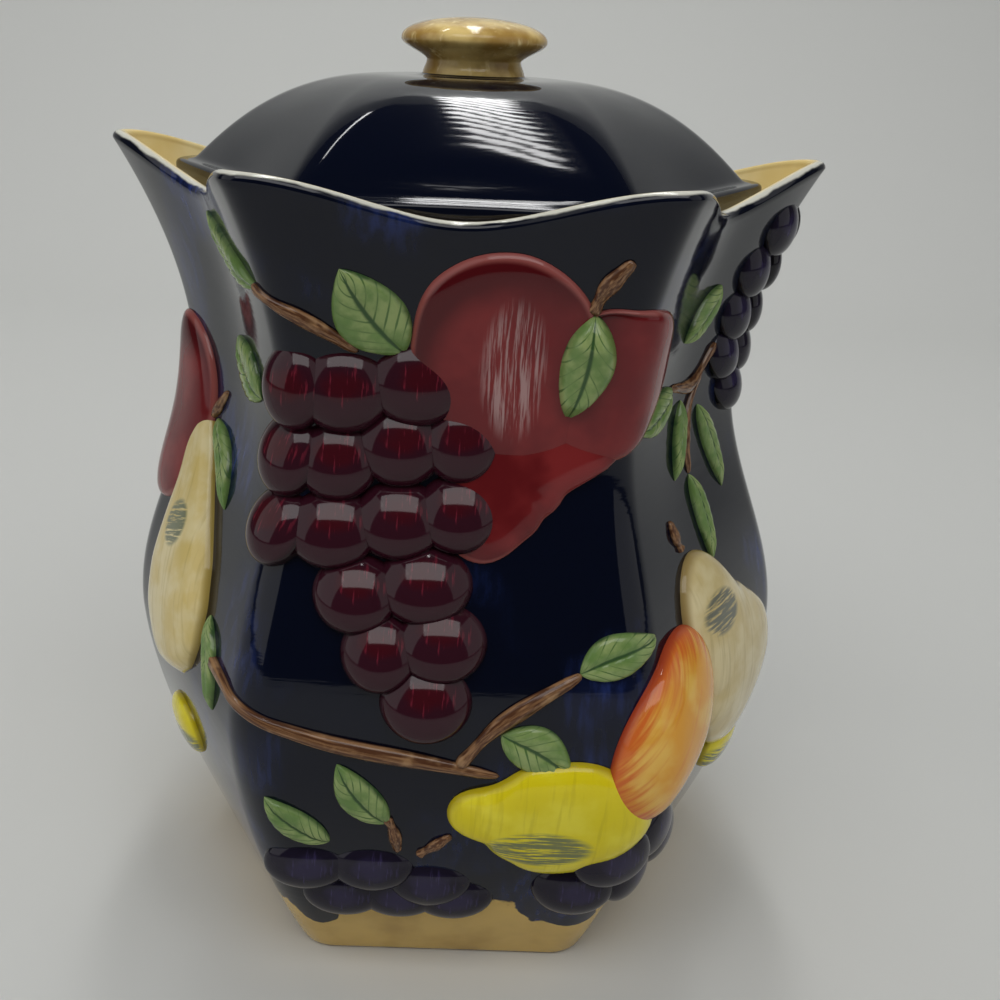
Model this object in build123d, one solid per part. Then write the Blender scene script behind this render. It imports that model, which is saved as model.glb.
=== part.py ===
from build123d import *

import os
from math import atan2, cos, degrees, hypot, pi, radians, sin, sqrt

# A hexagonal glazed stoneware biscuit jar with a lift-off lid and raised fruit on its walls.
#
# The jar is a slip-cast shell: a hexagonal foot, a full belly, a narrower waist and a rim that flares
# into six points. A ledge inside the rim carries the lid, whose flange drops through the mouth and
# holds a soft seal ring. The knob is a separate casting with a tenon. Fruit, leaves and twigs are
# raised sprigs, each one a solid that is seated on the outer wall.
#
# Frame: origin at the middle of the foot's underside, +Z up, -Y towards the front panel.
# "turn" is an angle in degrees round the jar from the front panel's middle, positive to the right.
# Lengths are millimetres.

# The jar's outer wall, measured to the rounded corners of the hexagon
FOOT_RADIUS = 73.5
BELLY_RADIUS = 99.0
WAIST_RADIUS = 78.8
TIP_RADIUS = 99.1
BELLY_HEIGHT = 82.0
WAIST_HEIGHT = 163.0
TIP_HEIGHT = 222.0
RIM_DIP = 10.0  # how far the rim drops between two points
TIP_SLOPE = 0.35  # how steeply the rim climbs into its points
TIP_RUNOUT = 5.0
FOOT_SWELL = 1.65  # power of the curve from foot to belly
RIM_FLARE = 1.8  # power of the curve from waist to rim

# How round the hexagon's corners are, and how far each panel is drawn in at its middle
FOOT_ROUNDING = 11.0
BELLY_ROUNDING = 16.0
WAIST_ROUNDING = 10.0
RIM_ROUNDING = 6.0
BELLY_BULGE = 0.4
WAIST_HOLLOW = 1.5
RIM_HOLLOW = 4.8

# The shell
WALL = 5.0
RIM_WALL = 4.2
FLOOR_THICKNESS = 5.0
FOOT_RING_WIDTH = 9.0
FOOT_RING_DEPTH = 2.5

# The ledge that carries the lid
LEDGE_BELOW_DIP = 2.0
MOUTH_RADIUS = 70.0
MOUTH_ROUNDING = 9.0
MOUTH_DEPTH = 8.0
SHOULDER_DROP = 16.0  # height over which the wall closes in under the mouth

# The lid
LID_RADIUS = 80.9
LID_ROUNDING = 8.0
LID_HOLLOW = 1.4
BRIM_THICKNESS = 5.0
EDGE_ROUND = 1.4
DOME_RISE = 24.3
DOME_STEEPNESS = 1.8  # power that sets how far out the S-curve is steepest
DOME_CROWN = 0.24  # share of the lid's width that is round and level at the top
DOME_RINGS = (1.0, 0.93, 0.84, 0.72, 0.58, 0.42, 0.32, DOME_CROWN)  # shares of the lid's width
LID_WALL = 5.0
FLANGE_GAP = 1.5
FLANGE_DEPTH = 12.0
FLANGE_WALL = 4.5
SEAL_HEIGHT = 3.2
SEAL_BITE = 2.0  # depth of its groove
SEAL_DROP = 2.6  # from the brim down to the seal
SEAL_CLEARANCE = 1.0  # to the mouth

# The knob, with the heights of its neck and its widest ring as shares of its own height
COLLAR_RADIUS = 15.5
COLLAR_HEIGHT = 0.5
COLLAR_SINK = 1.5
KNOB_NECK_RADIUS = 12.8
KNOB_FOOT_RADIUS = 13.8
KNOB_RADIUS = 19.7
KNOB_SHOULDER_RADIUS = 14.2
KNOB_HEIGHT = 14.2
KNOB_NECK_SHARE = 0.25
KNOB_WIDEST_SHARE = 0.6
KNOB_SHOULDER_SHARE = 0.88
TENON_RADIUS = 6.0
TENON_LENGTH = 3.5
TENON_GAP = 0.2

# The raised fruit
GRAPE_RADIUS = 9.4
GRAPE_SINK = 3.4
SLOE_RADIUS = 8.2
SLOE_SINK = 4.2
PLUM_RADIUS = 11.0
PLUM_SINK = 6.2
FRUIT_PROUD = 6.0
SMALL_FRUIT_PROUD = 4.8
APRICOT_PROUD = 8.0
PEAR_HALF_WIDTH = 19.0
PEAR_BELLY_SHARE = 0.33  # half length of a pear's round belly, as a share of its whole length
PEAR_NECK_SHARE = 0.4  # the same for its neck
PEAR_NECK_WIDTH = 0.5  # of its widest
LEAF_PROUD = 2.2
LEAF_ROOT = 8.0  # how far a leaf's pad reaches down, before it is cut back to the wall
LEAF_OVER_FRUIT = 7.2
TWIG_RADIUS = 2.1
STALK_RADIUS = 1.9
APPLE_STALK_RADIUS = 2.5
LEAST_CRUMB = 12.0  # mm3, a smaller offcut is cleared away

PANELS = 6
PANEL_TURN = 360.0 / PANELS
HALF_PANEL = PANEL_TURN / 2
EDGE_STOPS = (0.0, 0.217, 0.367, 0.45, 0.5, 0.55, 0.633, 0.783, 1.0)  # of a panel, denser at its corner
TANGENT_STEP = 0.2  # degrees
CUTTER_SPARE = 8.0  # how far a cutting shape runs past what it cuts

DIP_HEIGHT = TIP_HEIGHT - RIM_DIP
LEDGE_HEIGHT = DIP_HEIGHT - LEDGE_BELOW_DIP
ABOVE_TIPS = TIP_HEIGHT + CUTTER_SPARE
FLOOR_HEIGHT = FOOT_RING_DEPTH + FLOOR_THICKNESS
FLANGE_RADIUS = MOUTH_RADIUS - FLANGE_GAP
BRIM_TOP = LEDGE_HEIGHT + BRIM_THICKNESS
DOME_TOP = BRIM_TOP + DOME_RISE
COLLAR_TOP = DOME_TOP + COLLAR_HEIGHT


def corner_radius(z):
    """Radius of the hexagon's rounded corner at height z: swelling foot, S-curved waist, flared rim."""
    if z < BELLY_HEIGHT:
        return FOOT_RADIUS + (BELLY_RADIUS - FOOT_RADIUS) * (1 - (1 - z / BELLY_HEIGHT) ** FOOT_SWELL)
    if z < WAIST_HEIGHT:
        share = (z - BELLY_HEIGHT) / (WAIST_HEIGHT - BELLY_HEIGHT)
        return BELLY_RADIUS + (WAIST_RADIUS - BELLY_RADIUS) * (1 - cos(pi * share)) / 2
    share = (z - WAIST_HEIGHT) / (TIP_HEIGHT - WAIST_HEIGHT)
    return WAIST_RADIUS + (TIP_RADIUS - WAIST_RADIUS) * share**RIM_FLARE


def between(z, stops):
    """Straight-line value at height z from a list of (height, value) stops."""
    for (low, value_low), (high, value_high) in zip(stops, stops[1:]):
        if z <= high:
            return value_low + (value_high - value_low) * (z - low) / (high - low)
    return stops[-1][1]


def rounding(z):
    """Corner rounding of the outer wall at height z."""
    stops = [(0, FOOT_ROUNDING), (BELLY_HEIGHT, BELLY_ROUNDING)]
    return between(z, stops + [(WAIST_HEIGHT, WAIST_ROUNDING), (ABOVE_TIPS, RIM_ROUNDING)])


def hollow(z):
    """How far a panel's middle is drawn in from a flat side at height z."""
    stops = [(0, 0.0), (BELLY_HEIGHT, -BELLY_BULGE), (WAIST_HEIGHT, WAIST_HOLLOW)]
    return between(z, stops + [(DIP_HEIGHT, RIM_HOLLOW), (ABOVE_TIPS, RIM_HOLLOW)])


def hexagon_reach(turn, radius, round_off, drawn_in):
    """Distance from the axis to a rounded hexagon's side, at an angle from a side's middle."""
    off_middle = radians(turn - PANEL_TURN * round(turn / PANEL_TURN))
    corner = radians(HALF_PANEL)
    sharp_radius = radius + round_off * (1 / cos(corner) - 1)
    apothem = sharp_radius * cos(corner)
    arc_centre = sharp_radius - round_off / cos(corner)
    reach = apothem / cos(off_middle)
    if abs(off_middle) > atan2(arc_centre * sin(corner), apothem):
        off_corner = corner - abs(off_middle)
        reach = arc_centre * cos(off_corner) + sqrt(round_off**2 - (arc_centre * sin(off_corner)) ** 2)
    return reach - drawn_in * (1 + cos(PANELS * off_middle)) / 2


def ring_point(turn, z, radius, round_off, drawn_in, inset):
    """Point on a rounded hexagon at height z, moved in by inset."""
    reach = hexagon_reach(turn, radius, round_off, drawn_in) - inset
    return Vector(reach * sin(radians(turn)), -reach * cos(radians(turn)), z)


def ring_wire(z, radius, round_off, drawn_in, inset=0.0):
    """Closed curve of a rounded hexagon at height z: one smooth edge from each side's middle to the next."""
    edges = []
    shape = (z, radius, round_off, drawn_in, inset)
    for panel in range(PANELS):
        turns = [PANEL_TURN * (panel + stop) for stop in EDGE_STOPS]
        ends = [
            ring_point(turn + TANGENT_STEP, *shape) - ring_point(turn - TANGENT_STEP, *shape)
            for turn in (turns[0], turns[-1])
        ]
        edges.append(Spline(*[ring_point(turn, *shape) for turn in turns], tangents=ends))
    return Wire(edges)


def wall_wire(z, inset=0.0):
    """The jar's outline at height z, moved in by inset."""
    return ring_wire(z, corner_radius(z), rounding(z), hollow(z), inset)


def prism(bottom, top, radius, round_off, inset=0.0):
    """Upright rounded-hexagon solid between two heights."""
    ends = [ring_wire(z, radius, round_off, 0.0, inset) for z in (bottom, top)]
    return Solid.make_loft(ends, ruled=True)


def heights(low, high, steps):
    """Evenly spaced heights, both ends included."""
    return [low + (high - low) * step / steps for step in range(steps + 1)]


def solid_core():
    """The jar's outside as one full solid, taller than its tips."""
    levels = heights(0.0, BELLY_HEIGHT, 4) + heights(BELLY_HEIGHT, WAIST_HEIGHT, 4)[1:]
    levels += heights(WAIST_HEIGHT, ABOVE_TIPS, 4)[1:]
    return Solid.make_loft([wall_wire(z) for z in levels])


def rim_cutters():
    """Everything above the scalloped rim: one long prism for each pair of opposite panels."""
    half_side = TIP_RADIUS / 2
    far = 2 * TIP_RADIUS
    right = [(half_side, TIP_HEIGHT), (half_side + TIP_RUNOUT, TIP_HEIGHT + TIP_RUNOUT * TIP_SLOPE)]
    left = [(-across, height) for across, height in reversed(right)]
    dip = Spline(*left, (0, DIP_HEIGHT), *right)
    sky = Polyline(right[-1], (right[-1][0], far * 2), (left[0][0], far * 2), left[0])
    cutter = extrude(Plane.XZ * make_face([dip, sky]), amount=far, both=True)
    return [Rot(0, 0, PANEL_TURN * pair) * cutter for pair in range(PANELS // 2)]


def jar_body():
    """The cast shell: scalloped rim, cavity closing in to the mouth, lid ledge, recessed underside."""
    mouth_foot = LEDGE_HEIGHT - MOUTH_DEPTH
    shoulder = mouth_foot - SHOULDER_DROP
    rings = [wall_wire(z, WALL) for z in heights(FLOOR_HEIGHT, shoulder, 7)]
    mouth = [(z, MOUTH_RADIUS, MOUTH_ROUNDING, 0.0) for z in heights(mouth_foot, ABOVE_TIPS, 3)]
    cavity = Solid.make_loft(rings + [ring_wire(*ring) for ring in mouth])
    gallery = Solid.make_loft([wall_wire(z, RIM_WALL) for z in heights(LEDGE_HEIGHT, ABOVE_TIPS, 3)])
    underside = prism(-CUTTER_SPARE, FOOT_RING_DEPTH, FOOT_RADIUS - FOOT_RING_WIDTH, FOOT_ROUNDING)
    shell = solid_core()
    for hole in [*rim_cutters(), cavity, gallery, underside]:
        shell -= hole
    return shell


def dome(radius, foot, bottom, top):
    """Solid with an upright side from foot to bottom and an S-shaped dome over it. The dome's corner
    ridges melt into a round, level crown."""
    rings = [ring_wire(z, radius, LID_ROUNDING, LID_HOLLOW) for z in heights(foot, bottom - EDGE_ROUND, 2)]
    for share in DOME_RINGS:
        size = (radius - EDGE_ROUND) * share
        round_off = LID_ROUNDING + (size - LID_ROUNDING) * (1 - share) ** 2
        slope = ((share - DOME_CROWN) / (1 - DOME_CROWN)) ** DOME_STEEPNESS
        z = bottom + (top - bottom) * (1 + cos(pi * slope)) / 2
        rings.append(ring_wire(z, size, round_off, LID_HOLLOW * share))
    return Solid.make_loft(rings)


def lid_shell():
    """Domed lid: brim, flange with a seal groove, hollow underside and a collar for the knob."""
    inside = FLANGE_RADIUS - FLANGE_WALL
    flange_foot = LEDGE_HEIGHT - FLANGE_DEPTH
    lid = dome(LID_RADIUS, LEDGE_HEIGHT, BRIM_TOP, DOME_TOP)
    lid += prism(flange_foot, LEDGE_HEIGHT + EDGE_ROUND, FLANGE_RADIUS, MOUTH_ROUNDING)
    skirt = Cone(COLLAR_RADIUS, KNOB_FOOT_RADIUS, COLLAR_HEIGHT + COLLAR_SINK)
    lid += Pos(0, 0, COLLAR_TOP - (COLLAR_HEIGHT + COLLAR_SINK) / 2) * skirt
    lid -= dome(inside, flange_foot - EDGE_ROUND, LEDGE_HEIGHT, DOME_TOP - LID_WALL)
    seal_top = LEDGE_HEIGHT - SEAL_DROP
    seal_foot = seal_top - SEAL_HEIGHT
    groove = prism(seal_foot, seal_top, MOUTH_RADIUS, MOUTH_ROUNDING)
    lid -= groove - prism(seal_foot, seal_top, FLANGE_RADIUS, MOUTH_ROUNDING, SEAL_BITE)
    socket_depth = TENON_LENGTH + TENON_GAP
    socket = Cylinder(TENON_RADIUS + TENON_GAP, socket_depth)
    return lid - Pos(0, 0, COLLAR_TOP - socket_depth / 2) * socket


def seal_ring():
    """Soft ring that fills the flange's groove and stands out almost to the mouth."""
    top = LEDGE_HEIGHT - SEAL_DROP
    bottom = top - SEAL_HEIGHT
    outside = prism(bottom, top, MOUTH_RADIUS, MOUTH_ROUNDING, SEAL_CLEARANCE)
    return outside - prism(bottom, top, FLANGE_RADIUS, MOUTH_ROUNDING, SEAL_BITE)


def lid_knob():
    """Turned knob: short waisted neck under a flattened ball, with a tenon below."""
    top = COLLAR_TOP + KNOB_HEIGHT
    narrow = (KNOB_NECK_RADIUS, COLLAR_TOP + KNOB_HEIGHT * KNOB_NECK_SHARE)
    widest = (KNOB_RADIUS, COLLAR_TOP + KNOB_HEIGHT * KNOB_WIDEST_SHARE)
    shoulder = (KNOB_SHOULDER_RADIUS, COLLAR_TOP + KNOB_HEIGHT * KNOB_SHOULDER_SHARE)
    neck = Spline((KNOB_FOOT_RADIUS, COLLAR_TOP), narrow, widest, tangents=[(-0.3, 1), (0, 1)])
    crown = Spline(widest, shoulder, (0, top), tangents=[(0, 1), (-1, 0)])
    tenon = Polyline(
        (0, top),
        (0, COLLAR_TOP - TENON_LENGTH),
        (TENON_RADIUS, COLLAR_TOP - TENON_LENGTH),
        (TENON_RADIUS, COLLAR_TOP),
        (KNOB_FOOT_RADIUS, COLLAR_TOP),
    )
    return revolve(Plane.XZ * make_face([neck, crown, tenon]), Axis.Z)


def skin(turn, z):
    """Point on the outer wall."""
    return ring_point(turn, z, corner_radius(z), rounding(z), hollow(z), 0.0)


def skin_plane(turn, z):
    """Plane that lies on the outer wall: X to the right, Y up the wall, Z outwards."""
    right = skin(turn + 1, z) - skin(turn - 1, z)
    up = skin(turn, z + 1) - skin(turn, z - 1)
    return Plane(origin=skin(turn, z), x_dir=right, z_dir=right.cross(up))


def skin_angle(start, end):
    """The wall's plane half way between two (turn, height) places, and their line's angle and length."""
    middle = skin_plane((start[0] + end[0]) / 2, (start[1] + end[1]) / 2)
    line = middle.to_local_coords(skin(*end)) - middle.to_local_coords(skin(*start))
    return middle, degrees(atan2(line.Y, line.X)), hypot(line.X, line.Y)


def berry(turn, z, radius, sink):
    """One round fruit, its centre sunk a little into the wall."""
    return skin_plane(turn, z).offset(-sink).location * Sphere(radius)


def bunch(radius, sink, rows):
    """Berries in rows of (height, first turn, how many, turn between two), joined into one cluster."""
    places = [(turn + step * gap, z) for z, turn, count, gap in rows for step in range(count)]
    cluster = berry(*places[0], radius, sink)
    for place in places[1:]:
        cluster += berry(*place, radius, sink)
    return [cluster]


def round_fruit(turn, z, half_width, half_height, proud, tilt=0.0):
    """Flattened ball on the wall."""
    ball = scale(Sphere(1), by=(half_width, half_height, proud))
    return skin_plane(turn, z).location * Rot(0, 0, tilt) * ball


def pear(base, neck):
    """Pear between the middle of its base and its stalk end: a flattened ball and a slimmer one."""
    plane, angle, length = skin_angle(base, neck)
    belly_half = length * PEAR_BELLY_SHARE
    neck_half = length * PEAR_NECK_SHARE
    belly = scale(Sphere(1), by=(belly_half, PEAR_HALF_WIDTH, FRUIT_PROUD))
    slim = scale(Sphere(1), by=(neck_half, PEAR_HALF_WIDTH * PEAR_NECK_WIDTH, SMALL_FRUIT_PROUD))
    whole = Pos(belly_half - length / 2, 0, 0) * belly + Pos(length / 2 - neck_half, 0, 0) * slim
    return plane.location * Rot(0, 0, angle) * whole


def leaf(base, tip, width, proud=LEAF_PROUD):
    """Pointed pad between two places, its outline drawn by two arcs."""
    plane, angle, length = skin_angle(base, tip)
    ends = ((-length / 2, 0), (length / 2, 0))
    outline = make_face([ThreePointArc(ends[0], (0, side), ends[1]) for side in (width / 2, -width / 2)])
    pad = extrude(Pos(0, 0, -LEAF_ROOT) * outline, amount=LEAF_ROOT + proud, dir=(0, 0, 1))
    return plane.location * Rot(0, 0, angle) * pad


def leaves(*places):
    """Several separate leaves, each (base, tip, width)."""
    return [leaf(base, tip, width) for base, tip, width in places]


def twigs(radius, *paths):
    """Round twigs, each along its own places on the wall."""
    made = []
    for places in paths:
        path = Spline(*[skin(turn, z) for turn, z in places])
        seam_side = -skin_plane(*places[0]).z_dir
        end = Plane(origin=path @ 0, x_dir=seam_side, z_dir=path % 0)
        made.append(sweep(end * Circle(radius), path=path))
    return made


def apples_and_grapes():
    """Raised pieces of the front panel's upper half, topmost first, as {name: shapes}."""
    rows = [(172, -29, 3, 10.5), (157, -31, 4, 10.6), (141, -32, 4, 11.2), (127, -17.5, 2, 12.0)]
    rows += [(113, -12, 2, 10.5), (100, -4, 1, 0)]
    return {
        "vine_leaf": leaves(((-10.5, 181), (-19.5, 201), 17)),
        "apple_leaf": [leaf((22.5, 193), (20.5, 167), 13, LEAF_OVER_FRUIT)],
        "apple_stalk": twigs(APPLE_STALK_RADIUS, [(22, 193), (23, 199), (25.5, 206)]),
        "claret_grapes": bunch(GRAPE_RADIUS, GRAPE_SINK, rows),
        "apple_large": [round_fruit(7.5, 179.5, 23, 26.5, FRUIT_PROUD)],
        "apple_small": [round_fruit(27.5, 176, 17, 21, SMALL_FRUIT_PROUD, 8)],
        "apple_low": [round_fruit(8, 149, 14, 21, SMALL_FRUIT_PROUD, -35)],
        "shoot_leaf": leaves(((-33, 195), (-58, 207), 8)),
        "shoot_twig": twigs(TWIG_RADIUS, [(-34, 195.5), (-27, 190), (-18, 181)]),
    }


def branch_and_foot_fruit():
    """Raised pieces of the front panel's lower half, topmost first."""
    branch = [(-47, 97), (-32, 93), (-18, 86), (-2, 81.5), (9, 78)]
    corner_rows = [(49, 29, 2, 11.5), (37, 24, 3, 12)]
    foot_rows = [(46, -25, 2, 13), (43, 0.5, 1, 0), (34, -19, 3, 11.5)]
    return {
        "branch_leaves": leaves(((21, 106), (34, 113), 11), ((8.5, 93), (18.5, 84.2), 10)),
        "branch": twigs(TWIG_RADIUS, branch, [(4, 83), (9, 94), (21.5, 106)]),
        "apricot": [round_fruit(37.5, 86, 18, 26, APRICOT_PROUD, -36)],
        "quince": [round_fruit(16.5, 64, 26, 18, FRUIT_PROUD)],
        "plum_leaves": leaves(((-19.5, 53), (-28, 68), 10), ((-9.5, 61), (-17, 80), 11)),
        "corner_plums": bunch(PLUM_RADIUS, PLUM_SINK, corner_rows),
        "foot_plums": bunch(PLUM_RADIUS, PLUM_SINK, foot_rows),
        "plum_twigs": twigs(STALK_RADIUS, [(-9.5, 63), (-8.4, 57), (-8, 50)], [(-4.5, 49), (1.5, 57)]),
    }


def side_fruit():
    """Raised pieces of the two panels beside the front one, topmost first."""
    return {
        "pear_leaves": leaves(
            ((-70, 148), (-54, 129), 9),
            ((-47, 105), (-42, 82), 8),
            ((-43, 163), (-58, 175), 14),
        ),
        "pear_stalk": twigs(STALK_RADIUS, [(-75, 145), (-71, 150), (-66, 157)]),
        "yellow_pear": [pear((-57, 80), (-75, 148))],
        "side_lemon": [round_fruit(-62, 56, 15, 11, SMALL_FRUIT_PROUD, 20)],
        "willow_leaves": leaves(
            ((70, 191), (57, 178), 10),
            ((52, 167), (35, 161), 10),
            ((59, 162), (53, 142), 7),
            ((69, 158), (76, 132), 8),
            ((61, 141), (63, 116), 8),
        ),
        "willow_twigs": twigs(
            STALK_RADIUS,
            [(75, 174), (65, 165), (52, 167)],
            [(69, 168), (62, 155), (61, 141)],
        ),
        "russet_pear": [pear((73, 62), (53, 122))],
        "russet_stalk": twigs(STALK_RADIUS, [(50, 125), (48, 129), (47, 134)]),
        "corner_lemon": [round_fruit(72, 52, 14, 10, SMALL_FRUIT_PROUD, -20)],
    }


def front_only():
    """Raised pieces that have no twin at the back: the apple and the grapes on the side corners."""
    rows = [(204, 85, 2, 8), (193, 82, 2, 9), (181, 81, 2, 9), (170, 80, 2, 9), (160, 84, 1, 0)]
    return {
        "side_apple": [round_fruit(-86, 145, 20, 30, SMALL_FRUIT_PROUD)],
        "sloe_grapes": bunch(SLOE_RADIUS, SLOE_SINK, rows),
    }


def near(one, other):
    """Whether the boxes of two shapes meet."""
    a, b = one.bounding_box(), other.bounding_box()
    lows = (*a.min, *b.min)
    highs = (*b.max, *a.max)
    return all(low <= high for low, high in zip(lows, highs))


def seat(blank, above):
    """Cuts a raised piece back to the outer wall and to the pieces that lie over it."""
    for other in above:
        if near(blank, other):
            blank = blank - other
    return [solid for solid in (blank - solid_core()).solids() if solid.volume > LEAST_CRUMB]


def sprigs():
    """Every raised piece, seated on the wall, as {node name: compound}. A later one is cut where it
    meets an earlier one. The back half repeats the front's, half a turn round."""
    twinned = {**apples_and_grapes(), **branch_and_foot_fruit(), **side_fruit()}
    made = {}
    above = []
    for name, blanks in {**twinned, **front_only()}.items():
        solids = []
        for blank in blanks:
            solids += seat(blank, above)
            above.append(blank)
        made["front_" + name] = Compound(children=solids)
    for name in twinned:
        twin = [Rot(0, 0, 180) * solid for solid in made["front_" + name].solids()]
        made["back_" + name] = Compound(children=twin)
    return made


def main():
    os.makedirs("parts", exist_ok=True)
    nodes = {
        "jar_body": jar_body(),
        "lid_shell": lid_shell(),
        "lid_seal_ring": seal_ring(),
        "lid_knob": lid_knob(),
        **sprigs(),
    }
    for name, shape in nodes.items():
        export_step(shape, f"parts/{name}.step")


main()
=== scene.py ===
import bmesh
import bpy
import numpy as np
from mathutils import Matrix, Vector


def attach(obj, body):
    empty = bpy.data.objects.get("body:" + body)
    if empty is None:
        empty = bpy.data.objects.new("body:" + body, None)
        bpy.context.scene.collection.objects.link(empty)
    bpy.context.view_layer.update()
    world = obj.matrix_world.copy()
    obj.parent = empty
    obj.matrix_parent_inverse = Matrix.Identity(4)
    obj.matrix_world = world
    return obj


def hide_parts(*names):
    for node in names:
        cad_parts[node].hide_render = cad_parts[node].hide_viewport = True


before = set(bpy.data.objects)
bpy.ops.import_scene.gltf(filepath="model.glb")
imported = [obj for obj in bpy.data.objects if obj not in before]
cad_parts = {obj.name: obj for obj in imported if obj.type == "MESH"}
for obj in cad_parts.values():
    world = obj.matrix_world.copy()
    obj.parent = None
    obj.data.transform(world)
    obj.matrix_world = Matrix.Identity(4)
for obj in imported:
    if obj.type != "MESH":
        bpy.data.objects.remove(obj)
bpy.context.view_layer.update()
MM = 0.001


# ---- Camera ---------------------------------------------------------------------------------------
# A phone held a forearm's length away, a little above the rim and looking down at the jar.
# It is tipped a couple of degrees to one side.
LENS_MM = 41.59
SENSOR_MM = 36.0
CAMERA_PLACE = Vector((0.0062, -0.3301, 0.2506))
CAMERA_YAW = 0.0188
CAMERA_PITCH = 0.3844
CAMERA_ROLL = 0.0466

ahead = Vector(
    (
        np.sin(CAMERA_YAW) * np.cos(CAMERA_PITCH),
        np.cos(CAMERA_YAW) * np.cos(CAMERA_PITCH),
        -np.sin(CAMERA_PITCH),
    )
)
level = ahead.cross(Vector((0, 0, 1))).normalized()
above = level.cross(ahead)
right = level * np.cos(CAMERA_ROLL) + above * np.sin(CAMERA_ROLL)
upward = above * np.cos(CAMERA_ROLL) - level * np.sin(CAMERA_ROLL)
camera_data = bpy.data.cameras.new("camera")
camera_data.sensor_width = SENSOR_MM
camera_data.lens = LENS_MM
camera_data.clip_start = 0.01
camera = bpy.data.objects.new("camera", camera_data)
camera.matrix_world = Matrix.Translation(CAMERA_PLACE) @ Matrix((right, upward, -ahead)).transposed().to_4x4()
bpy.context.scene.collection.objects.link(camera)
bpy.context.scene.camera = camera
bpy.context.scene.view_settings.view_transform = "Standard"


# ---- Table and backdrop ---------------------------------------------------------------------------
# A sheet of pale paper board that lies flat under the jar and curves up into the wall behind it.
# Matt, with no grain that shows at this distance.
BOARD_COLOUR = "d2d3d0"
BOARD_BACK = 0.75
BOARD_BEND = 0.45
BOARD_HEIGHT = 2.2
BOARD_HALF_WIDTH = 2.4
BOARD_FRONT = -1.6


def linear(code):
    """sRGB hex code to linear red, green, blue and alpha."""
    parts = np.array([int(code[i : i + 2], 16) for i in (0, 2, 4)]) / 255
    return (*np.where(parts <= 0.04045, parts / 12.92, ((parts + 0.055) / 1.055) ** 2.4), 1.0)


def add(material, kind, output=0, **settings):
    """Adds one node and returns one of its outputs. Each setting is a property of the node, or an
    input by its name with _ for a space, or by its number after an i. A socket is linked to the
    input, and a hex code or a number becomes its value."""
    node = material.node_tree.nodes.new("ShaderNode" + kind)
    for name, value in settings.items():
        if hasattr(node, name):
            setattr(node, name, value)
            continue
        socket = node.inputs[int(name[1:]) if name[1:].isdigit() else name.replace("_", " ")]
        if isinstance(value, bpy.types.NodeSocket):
            material.node_tree.links.new(value, socket)
        else:
            socket.default_value = linear(value) if isinstance(value, str) else value
    return node.outputs[output] if node.outputs else None


def new_material(name):
    """A material without any nodes."""
    material = bpy.data.materials.new(name)
    material.use_nodes = True
    material.node_tree.nodes.clear()
    return material


def board_paper():
    """Matt paper board: rough, with no gloss at all."""
    material = new_material("paper_board")
    paper = add(material, "BsdfPrincipled", Base_Color=BOARD_COLOUR, Roughness=0.95, Specular_IOR_Level=0.1)
    add(material, "OutputMaterial", Surface=paper)
    return material


def board_surface():
    """Grid of the board: flat to the bend, a quarter circle, then upright. Formula: arc length along
    the profile gives height and depth, and the other parameter runs straight across."""
    bend = np.linspace(0, np.pi / 2, 33)
    depth = np.concatenate(([BOARD_FRONT], BOARD_BACK + BOARD_BEND * np.sin(bend), [BOARD_BACK + BOARD_BEND]))
    height = np.concatenate(([0.0], BOARD_BEND * (1 - np.cos(bend)), [BOARD_HEIGHT]))
    across = np.linspace(-BOARD_HALF_WIDTH, BOARD_HALF_WIDTH, 9)
    grid = np.empty((len(depth), len(across), 3))
    grid[..., 0] = across
    grid[..., 1] = depth[:, None]
    grid[..., 2] = height[:, None]
    return grid


def quads(rows, columns, closed):
    """Corner numbers of the faces of a grid, one row after another, the last column joined to the
    first where the grid is closed."""
    here = np.arange(columns if closed else columns - 1)
    beside = (here + 1) % columns
    start = (np.arange(rows - 1) * columns)[:, None]
    next_row = start + columns
    faces = np.stack([start + here, start + beside, next_row + beside, next_row + here], axis=-1)
    return faces.reshape(-1, 4)


def make_piece(name, points, faces, material, marks=None):
    """A smooth mesh object at the origin. Doubled points are merged, so seams and poles close, and
    faces are turned outwards. marks are vectors kept on the points for the material to read."""
    mesh = bpy.data.meshes.new(name)
    mesh.from_pydata(points.reshape(-1, 3), [], faces)
    for mark, values in (marks or {}).items():
        layer = mesh.attributes.new(mark, "FLOAT_VECTOR", "POINT")
        layer.data.foreach_set("vector", np.ascontiguousarray(values, dtype=np.float32).ravel())
    tidy = bmesh.new()
    tidy.from_mesh(mesh)
    bmesh.ops.remove_doubles(tidy, verts=tidy.verts, dist=1e-6)
    bmesh.ops.dissolve_degenerate(tidy, edges=tidy.edges, dist=1e-7)
    bmesh.ops.recalc_face_normals(tidy, faces=tidy.faces)
    tidy.to_mesh(mesh)
    tidy.free()
    mesh.polygons.foreach_set("use_smooth", np.ones(len(mesh.polygons), dtype=bool))
    mesh.materials.append(material)
    piece = bpy.data.objects.new(name, mesh)
    bpy.context.scene.collection.objects.link(piece)
    return piece


board_grid = board_surface()
board = make_piece("board", board_grid, quads(*board_grid.shape[:2], False), board_paper())


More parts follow.
